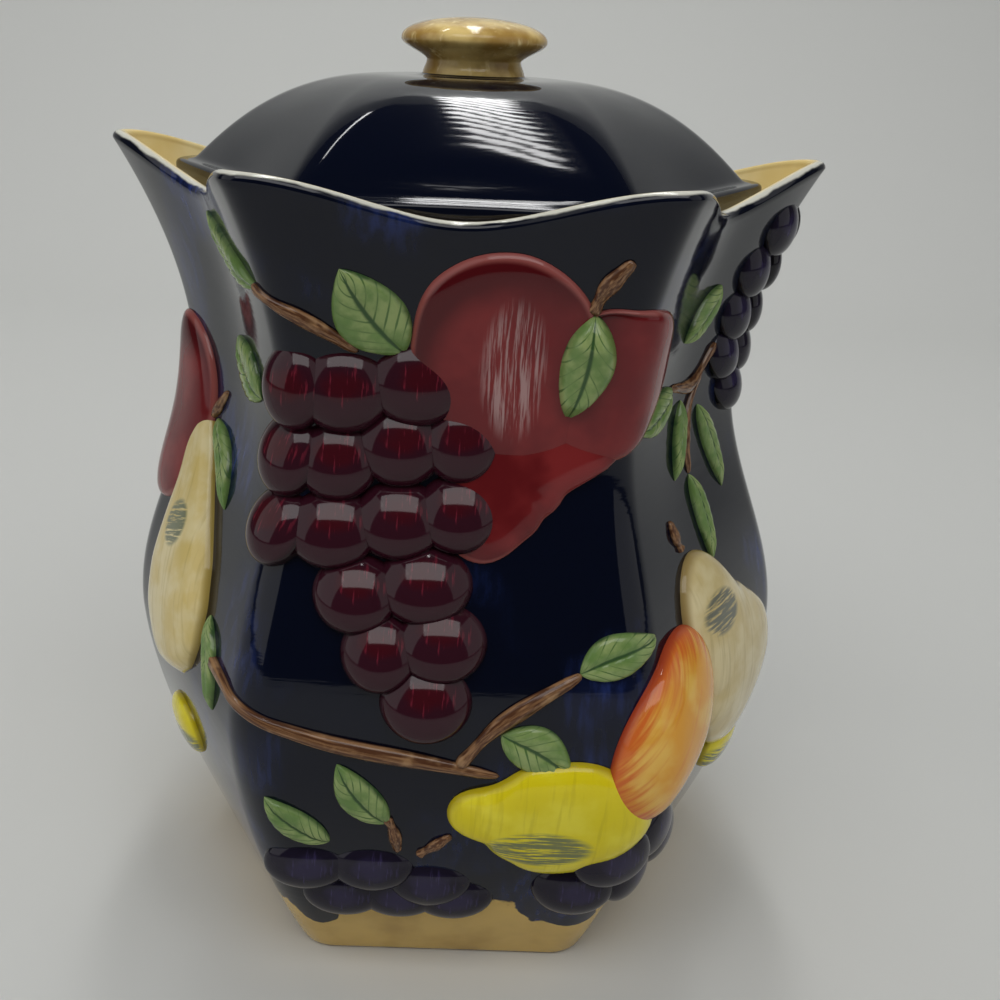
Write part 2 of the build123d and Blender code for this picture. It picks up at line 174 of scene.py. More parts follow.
# ---- Light ----------------------------------------------------------------------------------------
# A row of thin slanted lamps, mirrored in the lid's front panel, and a single one that draws a line
# along a ridge of the lid. A large soft lamp high in front, one on either side, and a dim room.
ROOM_GREY = 0.05
LOUVRES = 18
LOUVRE_CENTRE = Vector((-0.02, 0.84, 1.55))
LOUVRE_ROW = Vector((-0.05, 1, 0))  # the way that the row runs
LOUVRE_PITCH = 0.115
LOUVRE_LENGTHS = (0.20, 0.50)  # near and far end of the row
LOUVRE_WIDTH = 0.032
LOUVRE_TURN = -1.05
LOUVRE_WATTS = 11 / 6  # for each metre of its length
RIDGE_PLACE = Vector((-0.5, 0.5, 1.55))
RIDGE_SIZE = (0.65, 0.05)
RIDGE_TURN = 1.08
RIDGE_WATTS = 1.3
SIDE_PLACE = Vector((1.5, -0.6, 0.95))
SIDE_AIM = (0, 0, 0.12)
SIDE_SIZE = (1.8, 1.9)
SIDE_WATTS = {"left": 7.5, "right": 5.25}
FRONT_PLACE = (0, -1.3, 2.1)
FRONT_AIM = (0, -0.25, 0)
FRONT_SIZE = (2.2, 1.2)
FRONT_WATTS = 23.0
DOWN = Vector((0, 0, -1))


def lamp(name, place, aim, size, watts):
    """Soft rectangular lamp that faces a point."""
    data = bpy.data.lights.new(name, "AREA")
    data.shape = "RECTANGLE"
    data.size, data.size_y = size
    data.energy = watts
    light = bpy.data.objects.new(name, data)
    light.location = place
    light.rotation_euler = (Vector(aim) - Vector(place)).to_track_quat("-Z", "Y").to_euler()
    bpy.context.scene.collection.objects.link(light)
    return light


for louvre in range(LOUVRES):
    place = LOUVRE_CENTRE + LOUVRE_ROW * (louvre - (LOUVRES - 1) / 2) * LOUVRE_PITCH
    length = float(np.interp(louvre, (0, LOUVRES - 1), LOUVRE_LENGTHS))
    slat = lamp(f"louvre_{louvre}", place, place + DOWN, (length, LOUVRE_WIDTH), LOUVRE_WATTS * length)
    slat.rotation_euler = (0, 0, LOUVRE_TURN)
ridge = lamp("ridge", RIDGE_PLACE, RIDGE_PLACE + DOWN, RIDGE_SIZE, RIDGE_WATTS)
ridge.rotation_euler = (0, 0, RIDGE_TURN)
lamp("side_left", SIDE_PLACE * Vector((-1, 1, 1)), SIDE_AIM, SIDE_SIZE, SIDE_WATTS["left"])
lamp("side_right", SIDE_PLACE, SIDE_AIM, SIDE_SIZE, SIDE_WATTS["right"])
lamp("front", FRONT_PLACE, FRONT_AIM, FRONT_SIZE, FRONT_WATTS)

room = bpy.data.worlds.new("room")
bpy.context.scene.world = room
room.use_nodes = True
room.node_tree.nodes["Background"].inputs["Color"].default_value = (ROOM_GREY, ROOM_GREY, ROOM_GREY, 1)


# ---- Jar body -------------------------------------------------------------------------------------
# Slip-cast stoneware, 5 mm thick: a six-sided foot, a full belly, a waist and a rim that flares into
# six points. Dipped in straw glaze, then brushed all round with dark blue between foot and lip.
SIDES = 6
SIDE_TURN = 60.0
FOOT_RADIUS = 73.5 * MM
BELLY_RADIUS = 99.0 * MM
WAIST_RADIUS = 78.8 * MM
TIP_RADIUS = 99.1 * MM
BELLY_HEIGHT = 82.0 * MM
WAIST_HEIGHT = 163.0 * MM
TIP_HEIGHT = 222.0 * MM
RIM_DIP = 10.0 * MM
FOOT_SWELL = 1.65  # powers of the curves under the belly and over the waist
RIM_FLARE = 1.8
ABOVE_TIPS = TIP_HEIGHT + 8 * MM
DIP_HEIGHT = TIP_HEIGHT - RIM_DIP
WALL = 5.0 * MM
RIM_WALL = 4.2 * MM
LEDGE_HEIGHT = DIP_HEIGHT - 2.0 * MM
MOUTH_RADIUS = 70.0 * MM
MOUTH_ROUNDING = 9.0 * MM
MOUTH_DEPTH = 8.0 * MM
SHOULDER_DROP = 16.0 * MM
FLOOR_HEIGHT = 7.5 * MM
FOOT_RECESS = 2.5 * MM
FOOT_RING_WIDTH = 9.0 * MM
FOOT_EDGE = 1.6 * MM
RECESS_EDGE = 0.6 * MM
LEDGE_EDGE = 0.8 * MM
MOUTH_EDGE = 0.7 * MM
EDGE_CUT = 0.2 * MM  # how far a small rounding's middle lies in from the sharp corner
INNER_ROUND = 4.0 * MM
LIP_ROUND = 1.9 * MM
LIP_EASE = 0.3 * MM  # how far its points stay under TIP_HEIGHT
CORNER_ROUNDINGS = np.array([11, 16, 10, 6]) * MM  # at foot, belly, waist and over the points
SIDE_HOLLOWS = np.array([0, -0.4, 1.5, 4.8, 4.8]) * MM  # at foot, belly, waist, dip and over the points
COLUMNS_PER_SIDE = 56
INSIDE_MARK = 6.0  # of all that lies inside the lip
FOOT_SCALLOP = 55 * MM  # how far the foot's straw band waves and frays, and how much it is lowered
FOOT_RAGGED = 10 * MM
FOOT_LOWER = 5 * MM
LIP_RAGGED = 1.6  # the same for the lip's, in millimetres
LIP_LOWER = 1.1
GLAZE_IOR = 1.4
NAVY_DEEP = "04091b"
NAVY_BRUSHED = "101a3c"
NAVY_STREAK = "25356e"
STRAW = "efd288"
STRAW_PALE = "fbe6a8"
FOOT_STRAW = "d8b566"
FOOT_SHADE = "bd9a52"
# pale over the outer top of the lip: glaze thin on the edge, and a painted highlight along it
LIP_THIN_GLAZE_HIGHLIGHT = "dbdacd"


def corner_radius(height):
    """Radius of the rounded corner: a power curve from foot to belly, half a cosine wave to the
    waist and a power curve out to the points."""
    foot = FOOT_RADIUS + (BELLY_RADIUS - FOOT_RADIUS) * (
        1 - np.clip(1 - height / BELLY_HEIGHT, 0, 1) ** FOOT_SWELL
    )
    share = np.clip((height - BELLY_HEIGHT) / (WAIST_HEIGHT - BELLY_HEIGHT), 0, 1)
    waist = BELLY_RADIUS + (WAIST_RADIUS - BELLY_RADIUS) * (1 - np.cos(np.pi * share)) / 2
    flare = np.clip((height - WAIST_HEIGHT) / (TIP_HEIGHT - WAIST_HEIGHT), 0, 2) ** RIM_FLARE
    top = WAIST_RADIUS + (TIP_RADIUS - WAIST_RADIUS) * flare
    return np.where(height < BELLY_HEIGHT, foot, np.where(height < WAIST_HEIGHT, waist, top))


def rounding(height):
    """Rounding of the corners, straight-line between foot, belly, waist and rim."""
    return np.interp(height, [0, BELLY_HEIGHT, WAIST_HEIGHT, ABOVE_TIPS], CORNER_ROUNDINGS)


def hollow(height):
    """How far a side's middle is drawn in, straight-line between the same levels and the dip."""
    levels = [0, BELLY_HEIGHT, WAIST_HEIGHT, DIP_HEIGHT, ABOVE_TIPS]
    return np.interp(height, levels, SIDE_HOLLOWS)


def hexagon_reach(turn, radius, round_off, drawn_in):
    """Distance from the axis to a rounded hexagon: the straight side's distance over the cosine of
    the angle from its middle, or the corner arc's, less a cosine bump that hollows the side."""
    off_middle = np.radians(turn - SIDE_TURN * np.round(turn / SIDE_TURN))
    corner = np.radians(SIDE_TURN / 2)
    sharp = radius + round_off * (1 / np.cos(corner) - 1)
    apothem = sharp * np.cos(corner)
    arc_centre = sharp - round_off / np.cos(corner)
    off_corner = corner - np.abs(off_middle)
    inside = np.maximum(round_off**2 - (arc_centre * np.sin(off_corner)) ** 2, 0)
    arc = arc_centre * np.cos(off_corner) + np.sqrt(inside)
    on_arc = np.abs(off_middle) > np.arctan2(arc_centre * np.sin(corner), apothem)
    reach = np.where(on_arc, arc, apothem / np.cos(off_middle))
    return reach - drawn_in * (1 + np.cos(SIDES * off_middle)) / 2


def wall_reach(turn, height):
    """Distance from the axis to the jar's outer wall."""
    return hexagon_reach(turn, corner_radius(height), rounding(height), hollow(height))


def rim_height(turn):
    """Height of the scalloped lip: half a cosine wave down and up between two points."""
    off_middle = np.radians(turn - SIDE_TURN * np.round(turn / SIDE_TURN))
    share = np.tan(off_middle) / np.tan(np.radians(SIDE_TURN / 2))
    return TIP_HEIGHT - LIP_EASE - (RIM_DIP - LIP_EASE) * (1 + np.cos(np.pi * share)) / 2


def around(turn, reach, height):
    """Points at turn, reach and height."""
    turn, reach, height = np.broadcast_arrays(turn, reach, height)
    angle = np.radians(turn)
    return np.stack([reach * np.sin(angle), -reach * np.cos(angle), height], axis=-1)


def side_turns(columns):
    """Turns all round, closer together towards the corners."""
    share = np.linspace(-1, 1, columns, endpoint=False)
    one = SIDE_TURN / 2 * np.sign(share) * np.abs(share) ** 0.75
    return (one[None, :] + SIDE_TURN * np.arange(SIDES)[:, None]).ravel()


def body_surface():
    """Closed grid of the jar: rings from the underside's middle, round the foot, up the wall, over
    the lip, down to the ledge and the mouth and along the inside to the floor's middle. A ring's
    mark is 0 under the foot and on its edge, then its height over the wall's top in millimetres, and
    grows over the lip to INSIDE_MARK."""
    turn = side_turns(COLUMNS_PER_SIDE)
    recess = hexagon_reach(turn, FOOT_RADIUS - FOOT_RING_WIDTH, CORNER_ROUNDINGS[0], 0)
    rings = [(recess * share, FOOT_RECESS, 0.0) for share in np.linspace(0, 1, 12)[:-1]]
    rings += [(recess - RECESS_EDGE, FOOT_RECESS, 0.0), (recess, FOOT_RECESS - RECESS_EDGE, 0.0)]
    rings += [(recess, RECESS_EDGE, 0.0), (recess + RECESS_EDGE, 0.0, 0.0)]
    rings.append(((recess + wall_reach(turn, 0.0)) / 2, 0.0, 0.0))
    for angle in np.linspace(0, np.pi / 2, 7):
        height = FOOT_EDGE * (1 - np.cos(angle))
        rings.append((wall_reach(turn, height) - FOOT_EDGE * (1 - np.sin(angle)), height, 0.0))
    wall_top = rim_height(turn) - LIP_ROUND
    for share in np.linspace(0, 1, 130)[1:]:
        level_height = FOOT_EDGE + share * (DIP_HEIGHT - LIP_ROUND - FOOT_EDGE)
        height = level_height + (wall_top - DIP_HEIGHT + LIP_ROUND) * share**4
        rings.append((wall_reach(turn, height), height, (height - wall_top) / MM))
    for angle in np.linspace(0, np.pi, 15)[1:-1]:
        inset = RIM_WALL / 2 * (1 - np.cos(angle))
        height = wall_top + LIP_ROUND * np.sin(angle)
        rings.append((wall_reach(turn, wall_top) - inset, height, 1 + (INSIDE_MARK - 1) * angle / np.pi))
    for share in np.linspace(0, 1, 14):
        height = wall_top + (LEDGE_HEIGHT + LEDGE_EDGE - wall_top) * share
        rings.append((wall_reach(turn, height) - RIM_WALL, height, INSIDE_MARK))
    ledge = wall_reach(turn, LEDGE_HEIGHT) - RIM_WALL
    mouth = hexagon_reach(turn, MOUTH_RADIUS, MOUTH_ROUNDING, 0)
    mouth_foot = LEDGE_HEIGHT - MOUTH_DEPTH
    inside = [(ledge - LEDGE_EDGE, LEDGE_HEIGHT), (mouth + MOUTH_EDGE, LEDGE_HEIGHT)]
    inside += [(mouth + EDGE_CUT, LEDGE_HEIGHT - EDGE_CUT), (mouth, LEDGE_HEIGHT - MOUTH_EDGE)]
    inside.append((mouth, mouth_foot))
    for share in np.linspace(0, 1, 12)[1:]:
        height = mouth_foot - SHOULDER_DROP * share
        ease = (1 - np.cos(np.pi * share)) / 2
        inside.append((mouth + (wall_reach(turn, height) - WALL - mouth) * ease, height))
    for height in np.linspace(mouth_foot - SHOULDER_DROP, FLOOR_HEIGHT + INNER_ROUND, 40)[1:]:
        inside.append((wall_reach(turn, height) - WALL, height))
    for angle in np.linspace(0, np.pi / 2, 6)[1:]:
        reach = wall_reach(turn, FLOOR_HEIGHT + INNER_ROUND) - WALL - INNER_ROUND * (1 - np.cos(angle))
        inside.append((reach, FLOOR_HEIGHT + INNER_ROUND * (1 - np.sin(angle))))
    floor_edge = inside[-1][0]
    inside += [(floor_edge * share, FLOOR_HEIGHT) for share in np.linspace(1, 0, 12)[1:]]
    rings += [(reach, height, INSIDE_MARK) for reach, height in inside]
    points = np.stack([around(turn, reach, height) for reach, height, _ in rings])
    marks = np.zeros_like(points)
    marks[..., 0] = np.stack([np.broadcast_to(mark, turn.shape) for _, _, mark in rings])
    return points, marks


def cloud(material, place, size_mm, detail=3.0, stretch=(1, 1, 1)):
    """Soft noise in Object coordinates whose grain is size_mm wide, and longer where a brush ran."""
    scale = [1 / (size_mm * MM * longer) for longer in stretch]
    laid = add(material, "Mapping", Scale=scale, Vector=place)
    return add(material, "TexNoise", Scale=1.0, Detail=detail, Vector=laid)


def brush_over(material, under, over, where, low, high, strength=1.0, within=None):
    """Lays one colour over another: none where a value is at low, as much as its strength where it
    is at high and a smooth step between, and only as far as another share lets it."""
    smooth = {"interpolation_type": "SMOOTHSTEP", "From_Min": low, "From_Max": high, "To_Max": strength}
    share = add(material, "MapRange", Value=where, **smooth)
    if within:
        share = add(material, "Math", operation="MULTIPLY", i0=share, i1=within)
    return add(material, "Mix", 2, data_type="RGBA", i0=share, i6=under, i7=over)


def fire_gloss(material, colour, roughness, **ripples):
    """Ends a material in clear gloss glaze: a smooth skin of melted glass that mirrors the room. Its
    IOR is a little under that of glass, matched to how softly the jar mirrors."""
    glaze = add(material, "BsdfPrincipled", IOR=GLAZE_IOR, Roughness=roughness, Base_Color=colour, **ripples)
    add(material, "OutputMaterial", Surface=glaze)


def brushed_navy(banded):
    """Cobalt blue brushing glaze over stoneware, fired glossy. It pools almost black, and shows the
    brush as faint bluer streaks. On the body it stops short of the foot and the lip, where the
    straw glaze shows; banded says so."""
    material = new_material("navy_glaze_banded" if banded else "navy_glaze")
    place = add(material, "TexCoord", "Object")
    patches = cloud(material, place, 38, detail=2.0)
    strokes = cloud(material, place, 2.2, stretch=(1, 1, 9))
    ripples = cloud(material, place, 2.6, stretch=(8, 8, 1))
    low, high = (0.50, 0.74) if banded else (0.66, 1.0)
    smooth = {"interpolation_type": "SMOOTHSTEP", "From_Min": low, "From_Max": high}
    lit_patch = add(material, "MapRange", Value=patches, **smooth)
    colour = brush_over(material, NAVY_DEEP, NAVY_BRUSHED, patches, low, high)
    colour = brush_over(material, colour, NAVY_STREAK, strokes, 0.42, 0.72, within=lit_patch)
    waviness = add(material, "Bump", Strength=0.10, Distance=0.4 * MM, Height=ripples)
    if not banded:
        fire_gloss(material, colour, 0.06, Normal=waviness)
        return material
    band = add(material, "Attribute", "Vector", attribute_name="band")
    lip_place = add(material, "SeparateXYZ", "X", Vector=band)
    height = add(material, "SeparateXYZ", "Z", Vector=place)
    wander = cloud(material, place, 9)
    scallop = cloud(material, place, 23, detail=2.0)
    tone = cloud(material, place, 17)
    lip_straw = brush_over(material, STRAW, STRAW_PALE, tone, 0.35, 0.7)
    # pale on the outer top of the lip, where the glaze runs thin, and a painted highlight along the rim
    lip_straw = brush_over(material, lip_straw, LIP_THIN_GLAZE_HIGHLIGHT, lip_place, 4.4, 3.0)
    foot_straw = brush_over(material, FOOT_STRAW, FOOT_SHADE, tone, 0.4, 0.75)
    foot_edge = add(material, "Math", operation="MULTIPLY_ADD", i0=scallop, i1=-FOOT_SCALLOP, i2=FOOT_LOWER)
    foot_edge = add(material, "Math", operation="MULTIPLY_ADD", i0=wander, i1=-FOOT_RAGGED, i2=foot_edge)
    foot_edge = add(material, "Math", operation="ADD", i0=height, i1=foot_edge)
    colour = brush_over(material, colour, foot_straw, foot_edge, -1.6 * MM, -2.6 * MM)
    lip_edge = add(material, "Math", operation="MULTIPLY_ADD", i0=wander, i1=LIP_RAGGED, i2=-LIP_LOWER)
    lip_edge = add(material, "Math", operation="ADD", i0=lip_place, i1=lip_edge)
    colour = brush_over(material, colour, lip_straw, lip_edge, 1.8, 2.4)
    fire_gloss(material, colour, 0.07, Normal=waviness)
    return material


navy_banded = brushed_navy(True)
navy = brushed_navy(False)
body_points, body_marks = body_surface()
body = make_piece("body", body_points, quads(*body_points.shape[:2], True), navy_banded, {"band": body_marks})
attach(body, "jar")
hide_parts("jar_body")


# ---- Lid ------------------------------------------------------------------------------------------
# Cast in one: a brim that lies on the ledge, a six-panelled dome with a soft ridge up each corner,
# a collar for the knob, and a flange below with a groove. Dark blue glaze all over the top.
LID_RADIUS = 80.9 * MM
LID_ROUNDING = 8.0 * MM
LID_HOLLOW = 1.4 * MM
BRIM_TOP = LEDGE_HEIGHT + 5.0 * MM
DOME_TOP = BRIM_TOP + 24.3 * MM
DOME_CROWN = 0.24  # shares of the way out between which the dome falls, and the power of its fall
DOME_FOOT = 0.95
DOME_STEEPNESS = 2.4
DOME_FILLET = 0.04  # how softly it bends into the brim
DOME_BULGE = 1.6 * MM  # how far its panels swell
EDGE_ROUND = 1.4 * MM
LID_WALL = 5.0 * MM
FLANGE_RADIUS = MOUTH_RADIUS - 1.5 * MM
FLANGE_FOOT = LEDGE_HEIGHT - 12.0 * MM
FLANGE_WALL = 4.5 * MM
SEAL_TOP = LEDGE_HEIGHT - 2.6 * MM
SEAL_FOOT = SEAL_TOP - 3.2 * MM
SEAL_BITE = 2.0 * MM
COLLAR_RADIUS = 15.5 * MM
KNOB_FOOT_RADIUS = 13.8 * MM
COLLAR_HEIGHT = 0.5 * MM
COLLAR_TOP = DOME_TOP + COLLAR_HEIGHT
CROWN_EDGE = DOME_CROWN + 0.012  # share of the way out at which the dome clears the collar
BRIM_EDGE = 0.8 * MM
BRIM_START = 0.3  # angle at which the brim's rounding takes over from the dome
LID_COLUMNS = 48


def dome_ring(turn, radius, share, bottom, top):
    """Reach and height of one ring of the dome: a rounded hexagon that shrinks and grows rounder as
    it rises. The drop is a power of the way out, bent into the brim by a hyperbola."""
    size = radius * share
    round_off = LID_ROUNDING + (size - LID_ROUNDING) * (1 - share) ** 2
    left = 1 - np.clip((share - DOME_CROWN) / (DOME_FOOT - DOME_CROWN), 0, 2) ** DOME_STEEPNESS
    drawn_in = LID_HOLLOW * share - DOME_BULGE * np.sin(np.pi * share)
    return (
        hexagon_reach(turn, size, round_off, drawn_in),
        bottom + (top - bottom) * (left + np.hypot(left, DOME_FILLET)) / 2,
    )


def lid_surface():
    """Closed grid of the lid: rings from the collar's middle down the dome, round the brim, down the
    flange and its groove, up inside and under the dome to its middle."""
    turn = side_turns(LID_COLUMNS)
    rings = [(KNOB_FOOT_RADIUS * share, COLLAR_TOP) for share in np.linspace(0, 0.97, 5)]
    for share in np.linspace(0, 1, 8):
        flare = (COLLAR_RADIUS - KNOB_FOOT_RADIUS) * share**2
        rings.append((KNOB_FOOT_RADIUS + flare, COLLAR_TOP - COLLAR_HEIGHT * share))
    for share in np.linspace(CROWN_EDGE, 1.0, 90):
        rings.append(dome_ring(turn, LID_RADIUS - EDGE_ROUND, share, BRIM_TOP, DOME_TOP))
    side = hexagon_reach(turn, LID_RADIUS, LID_ROUNDING, LID_HOLLOW)
    for angle in np.linspace(BRIM_START, np.pi / 2, 6):
        rings.append((side - EDGE_ROUND * (1 - np.sin(angle)), BRIM_TOP - EDGE_ROUND * (1 - np.cos(angle))))
    rings += [(side, LEDGE_HEIGHT + BRIM_EDGE), (side - EDGE_CUT, LEDGE_HEIGHT + EDGE_CUT)]
    rings.append((side - BRIM_EDGE, LEDGE_HEIGHT))
    flange = hexagon_reach(turn, FLANGE_RADIUS, MOUTH_ROUNDING, 0)
    rings += [(flange, LEDGE_HEIGHT), (flange, SEAL_TOP), (flange - SEAL_BITE, SEAL_TOP)]
    rings += [(flange - SEAL_BITE, SEAL_FOOT), (flange, SEAL_FOOT), (flange, FLANGE_FOOT + BRIM_EDGE)]
    rings.append((flange - BRIM_EDGE, FLANGE_FOOT))
    inside = FLANGE_RADIUS - FLANGE_WALL
    bore = hexagon_reach(turn, inside, LID_ROUNDING, LID_HOLLOW)
    rings += [(bore + BRIM_EDGE, FLANGE_FOOT), (bore, FLANGE_FOOT + BRIM_EDGE)]
    rings.append((bore, LEDGE_HEIGHT - EDGE_ROUND))
    for share in np.linspace(1.0, CROWN_EDGE, 40):
        rings.append(dome_ring(turn, inside - EDGE_ROUND, share, LEDGE_HEIGHT, DOME_TOP - LID_WALL))
    for share in np.linspace(1, 0, 8)[1:]:
        rings.append((rings[-1][0] * share if share else 0.0 * turn, DOME_TOP - LID_WALL))
    return np.stack([around(turn, reach, height) for reach, height in rings])


lid_points = lid_surface()
lid = make_piece("lid", lid_points, quads(*lid_points.shape[:2], True), navy)
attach(lid, "lid")
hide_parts("lid_shell")


# ---- Knob -----------------------------------------------------------------------------------------
# Turned stoneware, glued by its tenon into the collar: a waisted neck under a flattened ball.
# Straw glaze, thin and pale on the shoulder and darker where it ran down into the neck.
KNOB_HEIGHT = 14.2 * MM
KNOB_RADIUS = 19.7 * MM
KNOB_NECK_RADIUS = 12.8 * MM
KNOB_NECK_HEIGHT = KNOB_HEIGHT * 0.25
KNOB_WIDE_HEIGHT = KNOB_HEIGHT * 0.6
KNOB_WAVES = (0.006, 0.004)  # shares of its radius, two and three to a turn
TENON_RADIUS = 6.0 * MM
TENON_LENGTH = 3.5 * MM
KNOB_COLUMNS = 96
STRAW_DEEP = "b08b48"


def knob_surface():
    """Closed grid: a profile of cosine blends, turned round the axis, pushed a fraction of a
    millimetre out of round by two slow waves."""
    turn = np.linspace(0, 360, KNOB_COLUMNS, endpoint=False)
    share = np.linspace(0, 1, 22)
    climb = np.linspace(0, np.pi / 2, 30)[1:]
    neck_fall = (KNOB_FOOT_RADIUS - KNOB_NECK_RADIUS) * (1 - np.cos(np.pi * share)) / 2
    reach = [
        [0.0, TENON_RADIUS, TENON_RADIUS],
        KNOB_FOOT_RADIUS - neck_fall,
        KNOB_NECK_RADIUS + (KNOB_RADIUS - KNOB_NECK_RADIUS) * np.sin(np.pi / 2 * share[1:]) ** 1.5,
        KNOB_RADIUS * np.cos(climb),
    ]
    height = [
        [-TENON_LENGTH, -TENON_LENGTH, 0.0],
        KNOB_NECK_HEIGHT * share,
        KNOB_NECK_HEIGHT + (KNOB_WIDE_HEIGHT - KNOB_NECK_HEIGHT) * share[1:],
        KNOB_WIDE_HEIGHT + (KNOB_HEIGHT - KNOB_WIDE_HEIGHT) * np.sin(climb) ** 0.9,
    ]
    reach, height = np.concatenate(reach)[:, None], np.concatenate(height)[:, None]
    twice, thrice = np.cos(np.radians(2 * turn + 40)), np.cos(np.radians(3 * turn))
    lumps = 1 + KNOB_WAVES[0] * twice + KNOB_WAVES[1] * thrice
    return around(turn, reach * np.where(height > 0, lumps / lumps.max(), 1.0), COLLAR_TOP + height)


def straw_glaze():
    """Honey-coloured transparent glaze over pale clay, fired glossy: milky where it is thin, with
    brown freckles and runs where it pools."""
    material = new_material("straw_glaze")
    place = add(material, "TexCoord", "Object")
    tone = cloud(material, place, 11, detail=4.0)
    runs = cloud(material, place, 2.4, detail=4.0, stretch=(1, 1, 4))
    colour = brush_over(material, STRAW_DEEP, STRAW, tone, 0.35, 0.65)
    colour = brush_over(material, colour, STRAW_PALE, runs, 0.55, 0.75)
    dimples = add(material, "Bump", Strength=0.25, Distance=0.5 * MM, Height=tone)
    fire_gloss(material, colour, 0.10, Normal=dimples)
    return material


knob_points = knob_surface()
knob = make_piece("knob", knob_points, quads(*knob_points.shape[:2], True), straw_glaze())
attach(knob, "lid")
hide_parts("lid_knob")


# ---- Seal ring ------------------------------------------------------------------------------------
# Moulded silicone rubber, milky clear, stretched into the flange's groove. Three soft lips lean out
# towards the mouth.
SEAL_REACH = 1.0 * MM
SEAL_LIPS = 3
SEAL_LIP_DEPTH = 1.1 * MM
SILICONE = ("dfe2df", "c8ccc9")


def seal_surface():
    """Closed loop of a small profile: flat inside, a wavy outer side with three lips, carried
    round the rounded hexagon."""
    turn = side_turns(LID_COLUMNS)
    inner = hexagon_reach(turn, FLANGE_RADIUS, MOUTH_ROUNDING, 0) - SEAL_BITE
    outer = hexagon_reach(turn, MOUTH_RADIUS, MOUTH_ROUNDING, 0) - SEAL_REACH
    rings = [(inner, SEAL_FOOT)]
    for share in np.linspace(0, 1, 25):
        groove = SEAL_LIP_DEPTH * (0.5 + 0.5 * np.cos(SEAL_LIPS * 2 * np.pi * share))
        rings.append((outer - groove, SEAL_FOOT + (SEAL_TOP - SEAL_FOOT) * share))
    rings += [(inner, SEAL_TOP), (inner, SEAL_FOOT)]
    return np.stack([around(turn, reach, height) for reach, height in rings])


def silicone():
    """Platinum-cured silicone rubber, moulded: milky, soft sheen, lets a little light through."""
    material = new_material("clear_silicone")
    milk = cloud(material, add(material, "TexCoord", "Object"), 14, detail=2.0)
    colour = add(material, "Mix", 2, data_type="RGBA", i0=milk, i6=SILICONE[0], i7=SILICONE[1])
    soft = {"Roughness": 0.35, "IOR": 1.41, "Transmission_Weight": 0.5}
    add(material, "OutputMaterial", Surface=add(material, "BsdfPrincipled", Base_Color=colour, **soft))
    return material


seal_points = seal_surface()
seal = make_piece("seal_ring", seal_points, quads(*seal_points.shape[:2], True), silicone())
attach(seal, "lid")
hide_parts("lid_seal_ring")


# ---- Apples ---------------------------------------------------------------------------------------
# Low relief pressed in a mould and set on the wall: flat-topped, with rounded edges and a dimple under
# the stalk. Underglaze crimson laid on with a wet brush, then a dry white brush over the fullest part.
UNDER_WALL = 1.0 * MM
SPOKES = 96
APPLE_RED = "6e1c20"
APPLE_LOW_RED = "64161a"
APPLE_DARK = "500c12"
APPLE_BRIGHT = "84292a"
APPLE_RIM = "9c5550"
DRY_WHITE = "cbb0ae"
LARGE_APPLE = (7.5, 180)
LARGE_APPLE_EDGE = (
    (-8.5, 187), (-5.4, 198), (3.2, 205), (11.2, 205.8), (17.7, 201), (21.6, 195), (24, 185), (25, 172),
    (22, 160), (17, 155.5), (8, 155), (0, 160), (-6, 168), (-9, 178),
)
SMALL_APPLE = (29, 176)
SMALL_APPLE_EDGE = (
    (22.9, 194), (28, 194), (33.9, 193.2), (38.8, 191.2), (40.8, 184), (41.5, 172), (37.8, 163),
    (33, 158.5), (29, 156.5), (22, 157.5), (17, 162), (16, 172), (18, 186),
)
LOW_APPLE = (12, 149)
LOW_APPLE_EDGE = (
    (33, 159.5), (29, 156.3), (24.8, 152.4), (20.7, 148.4), (16.7, 141.9), (12.7, 136), (9.8, 132.6),
    (7, 130.6), (4.8, 130.4), (2, 131.5), (-3, 138), (-4, 146), (2, 156), (14, 162), (26, 162.5),
)


def side_length():
    """Table of turn against length round a hexagon of unit corner radius, the same for any height."""
    turn = np.linspace(-300, 300, 6001)
    ring = around(turn, hexagon_reach(turn, 1.0, 0.14, 0.0), 0.0)
    step = np.linalg.norm(np.diff(ring, axis=0), axis=1)
    length = np.concatenate(([0], np.cumsum(step)))
    return turn, length - np.interp(0, turn, length)


def wall_slope_table():
    """Table of height against length up the wall at a side's middle."""
    height = np.linspace(0, ABOVE_TIPS, 400)
    reach = wall_reach(0.0 * height, height)
    step = np.hypot(np.diff(reach), np.diff(height))
    return height, np.concatenate(([0], np.cumsum(step)))


ROUND_TURN, ROUND_LENGTH = side_length()
WALL_HEIGHT, WALL_LENGTH = wall_slope_table()


def to_wall(turn, height, across, up):
    """Turn and height of the place that lies across and up, in metres along the wall, from another."""
    far_height = np.interp(np.interp(height, WALL_HEIGHT, WALL_LENGTH) + up, WALL_LENGTH, WALL_HEIGHT)
    length = np.interp(turn, ROUND_TURN, ROUND_LENGTH) + across / corner_radius(far_height)
    return np.interp(length, ROUND_LENGTH, ROUND_TURN), far_height


def wall_point(turn, height):
    """Point of the jar's outer wall."""
    return around(turn, wall_reach(turn, height), height)


def on_wall(turn, height, proud):
    """Points that stand proud of the wall, along its normal, which is square to two short steps."""
    step = 0.25
    rise = 0.5 * MM
    sideways = wall_point(turn + step, height) - wall_point(turn - step, height)
    upwards = wall_point(turn, height + rise) - wall_point(turn, height - rise)
    normal = np.cross(sideways, upwards)
    normal /= np.linalg.norm(normal, axis=-1, keepdims=True)
    return wall_point(turn, height) + normal * np.asarray(proud)[..., None]


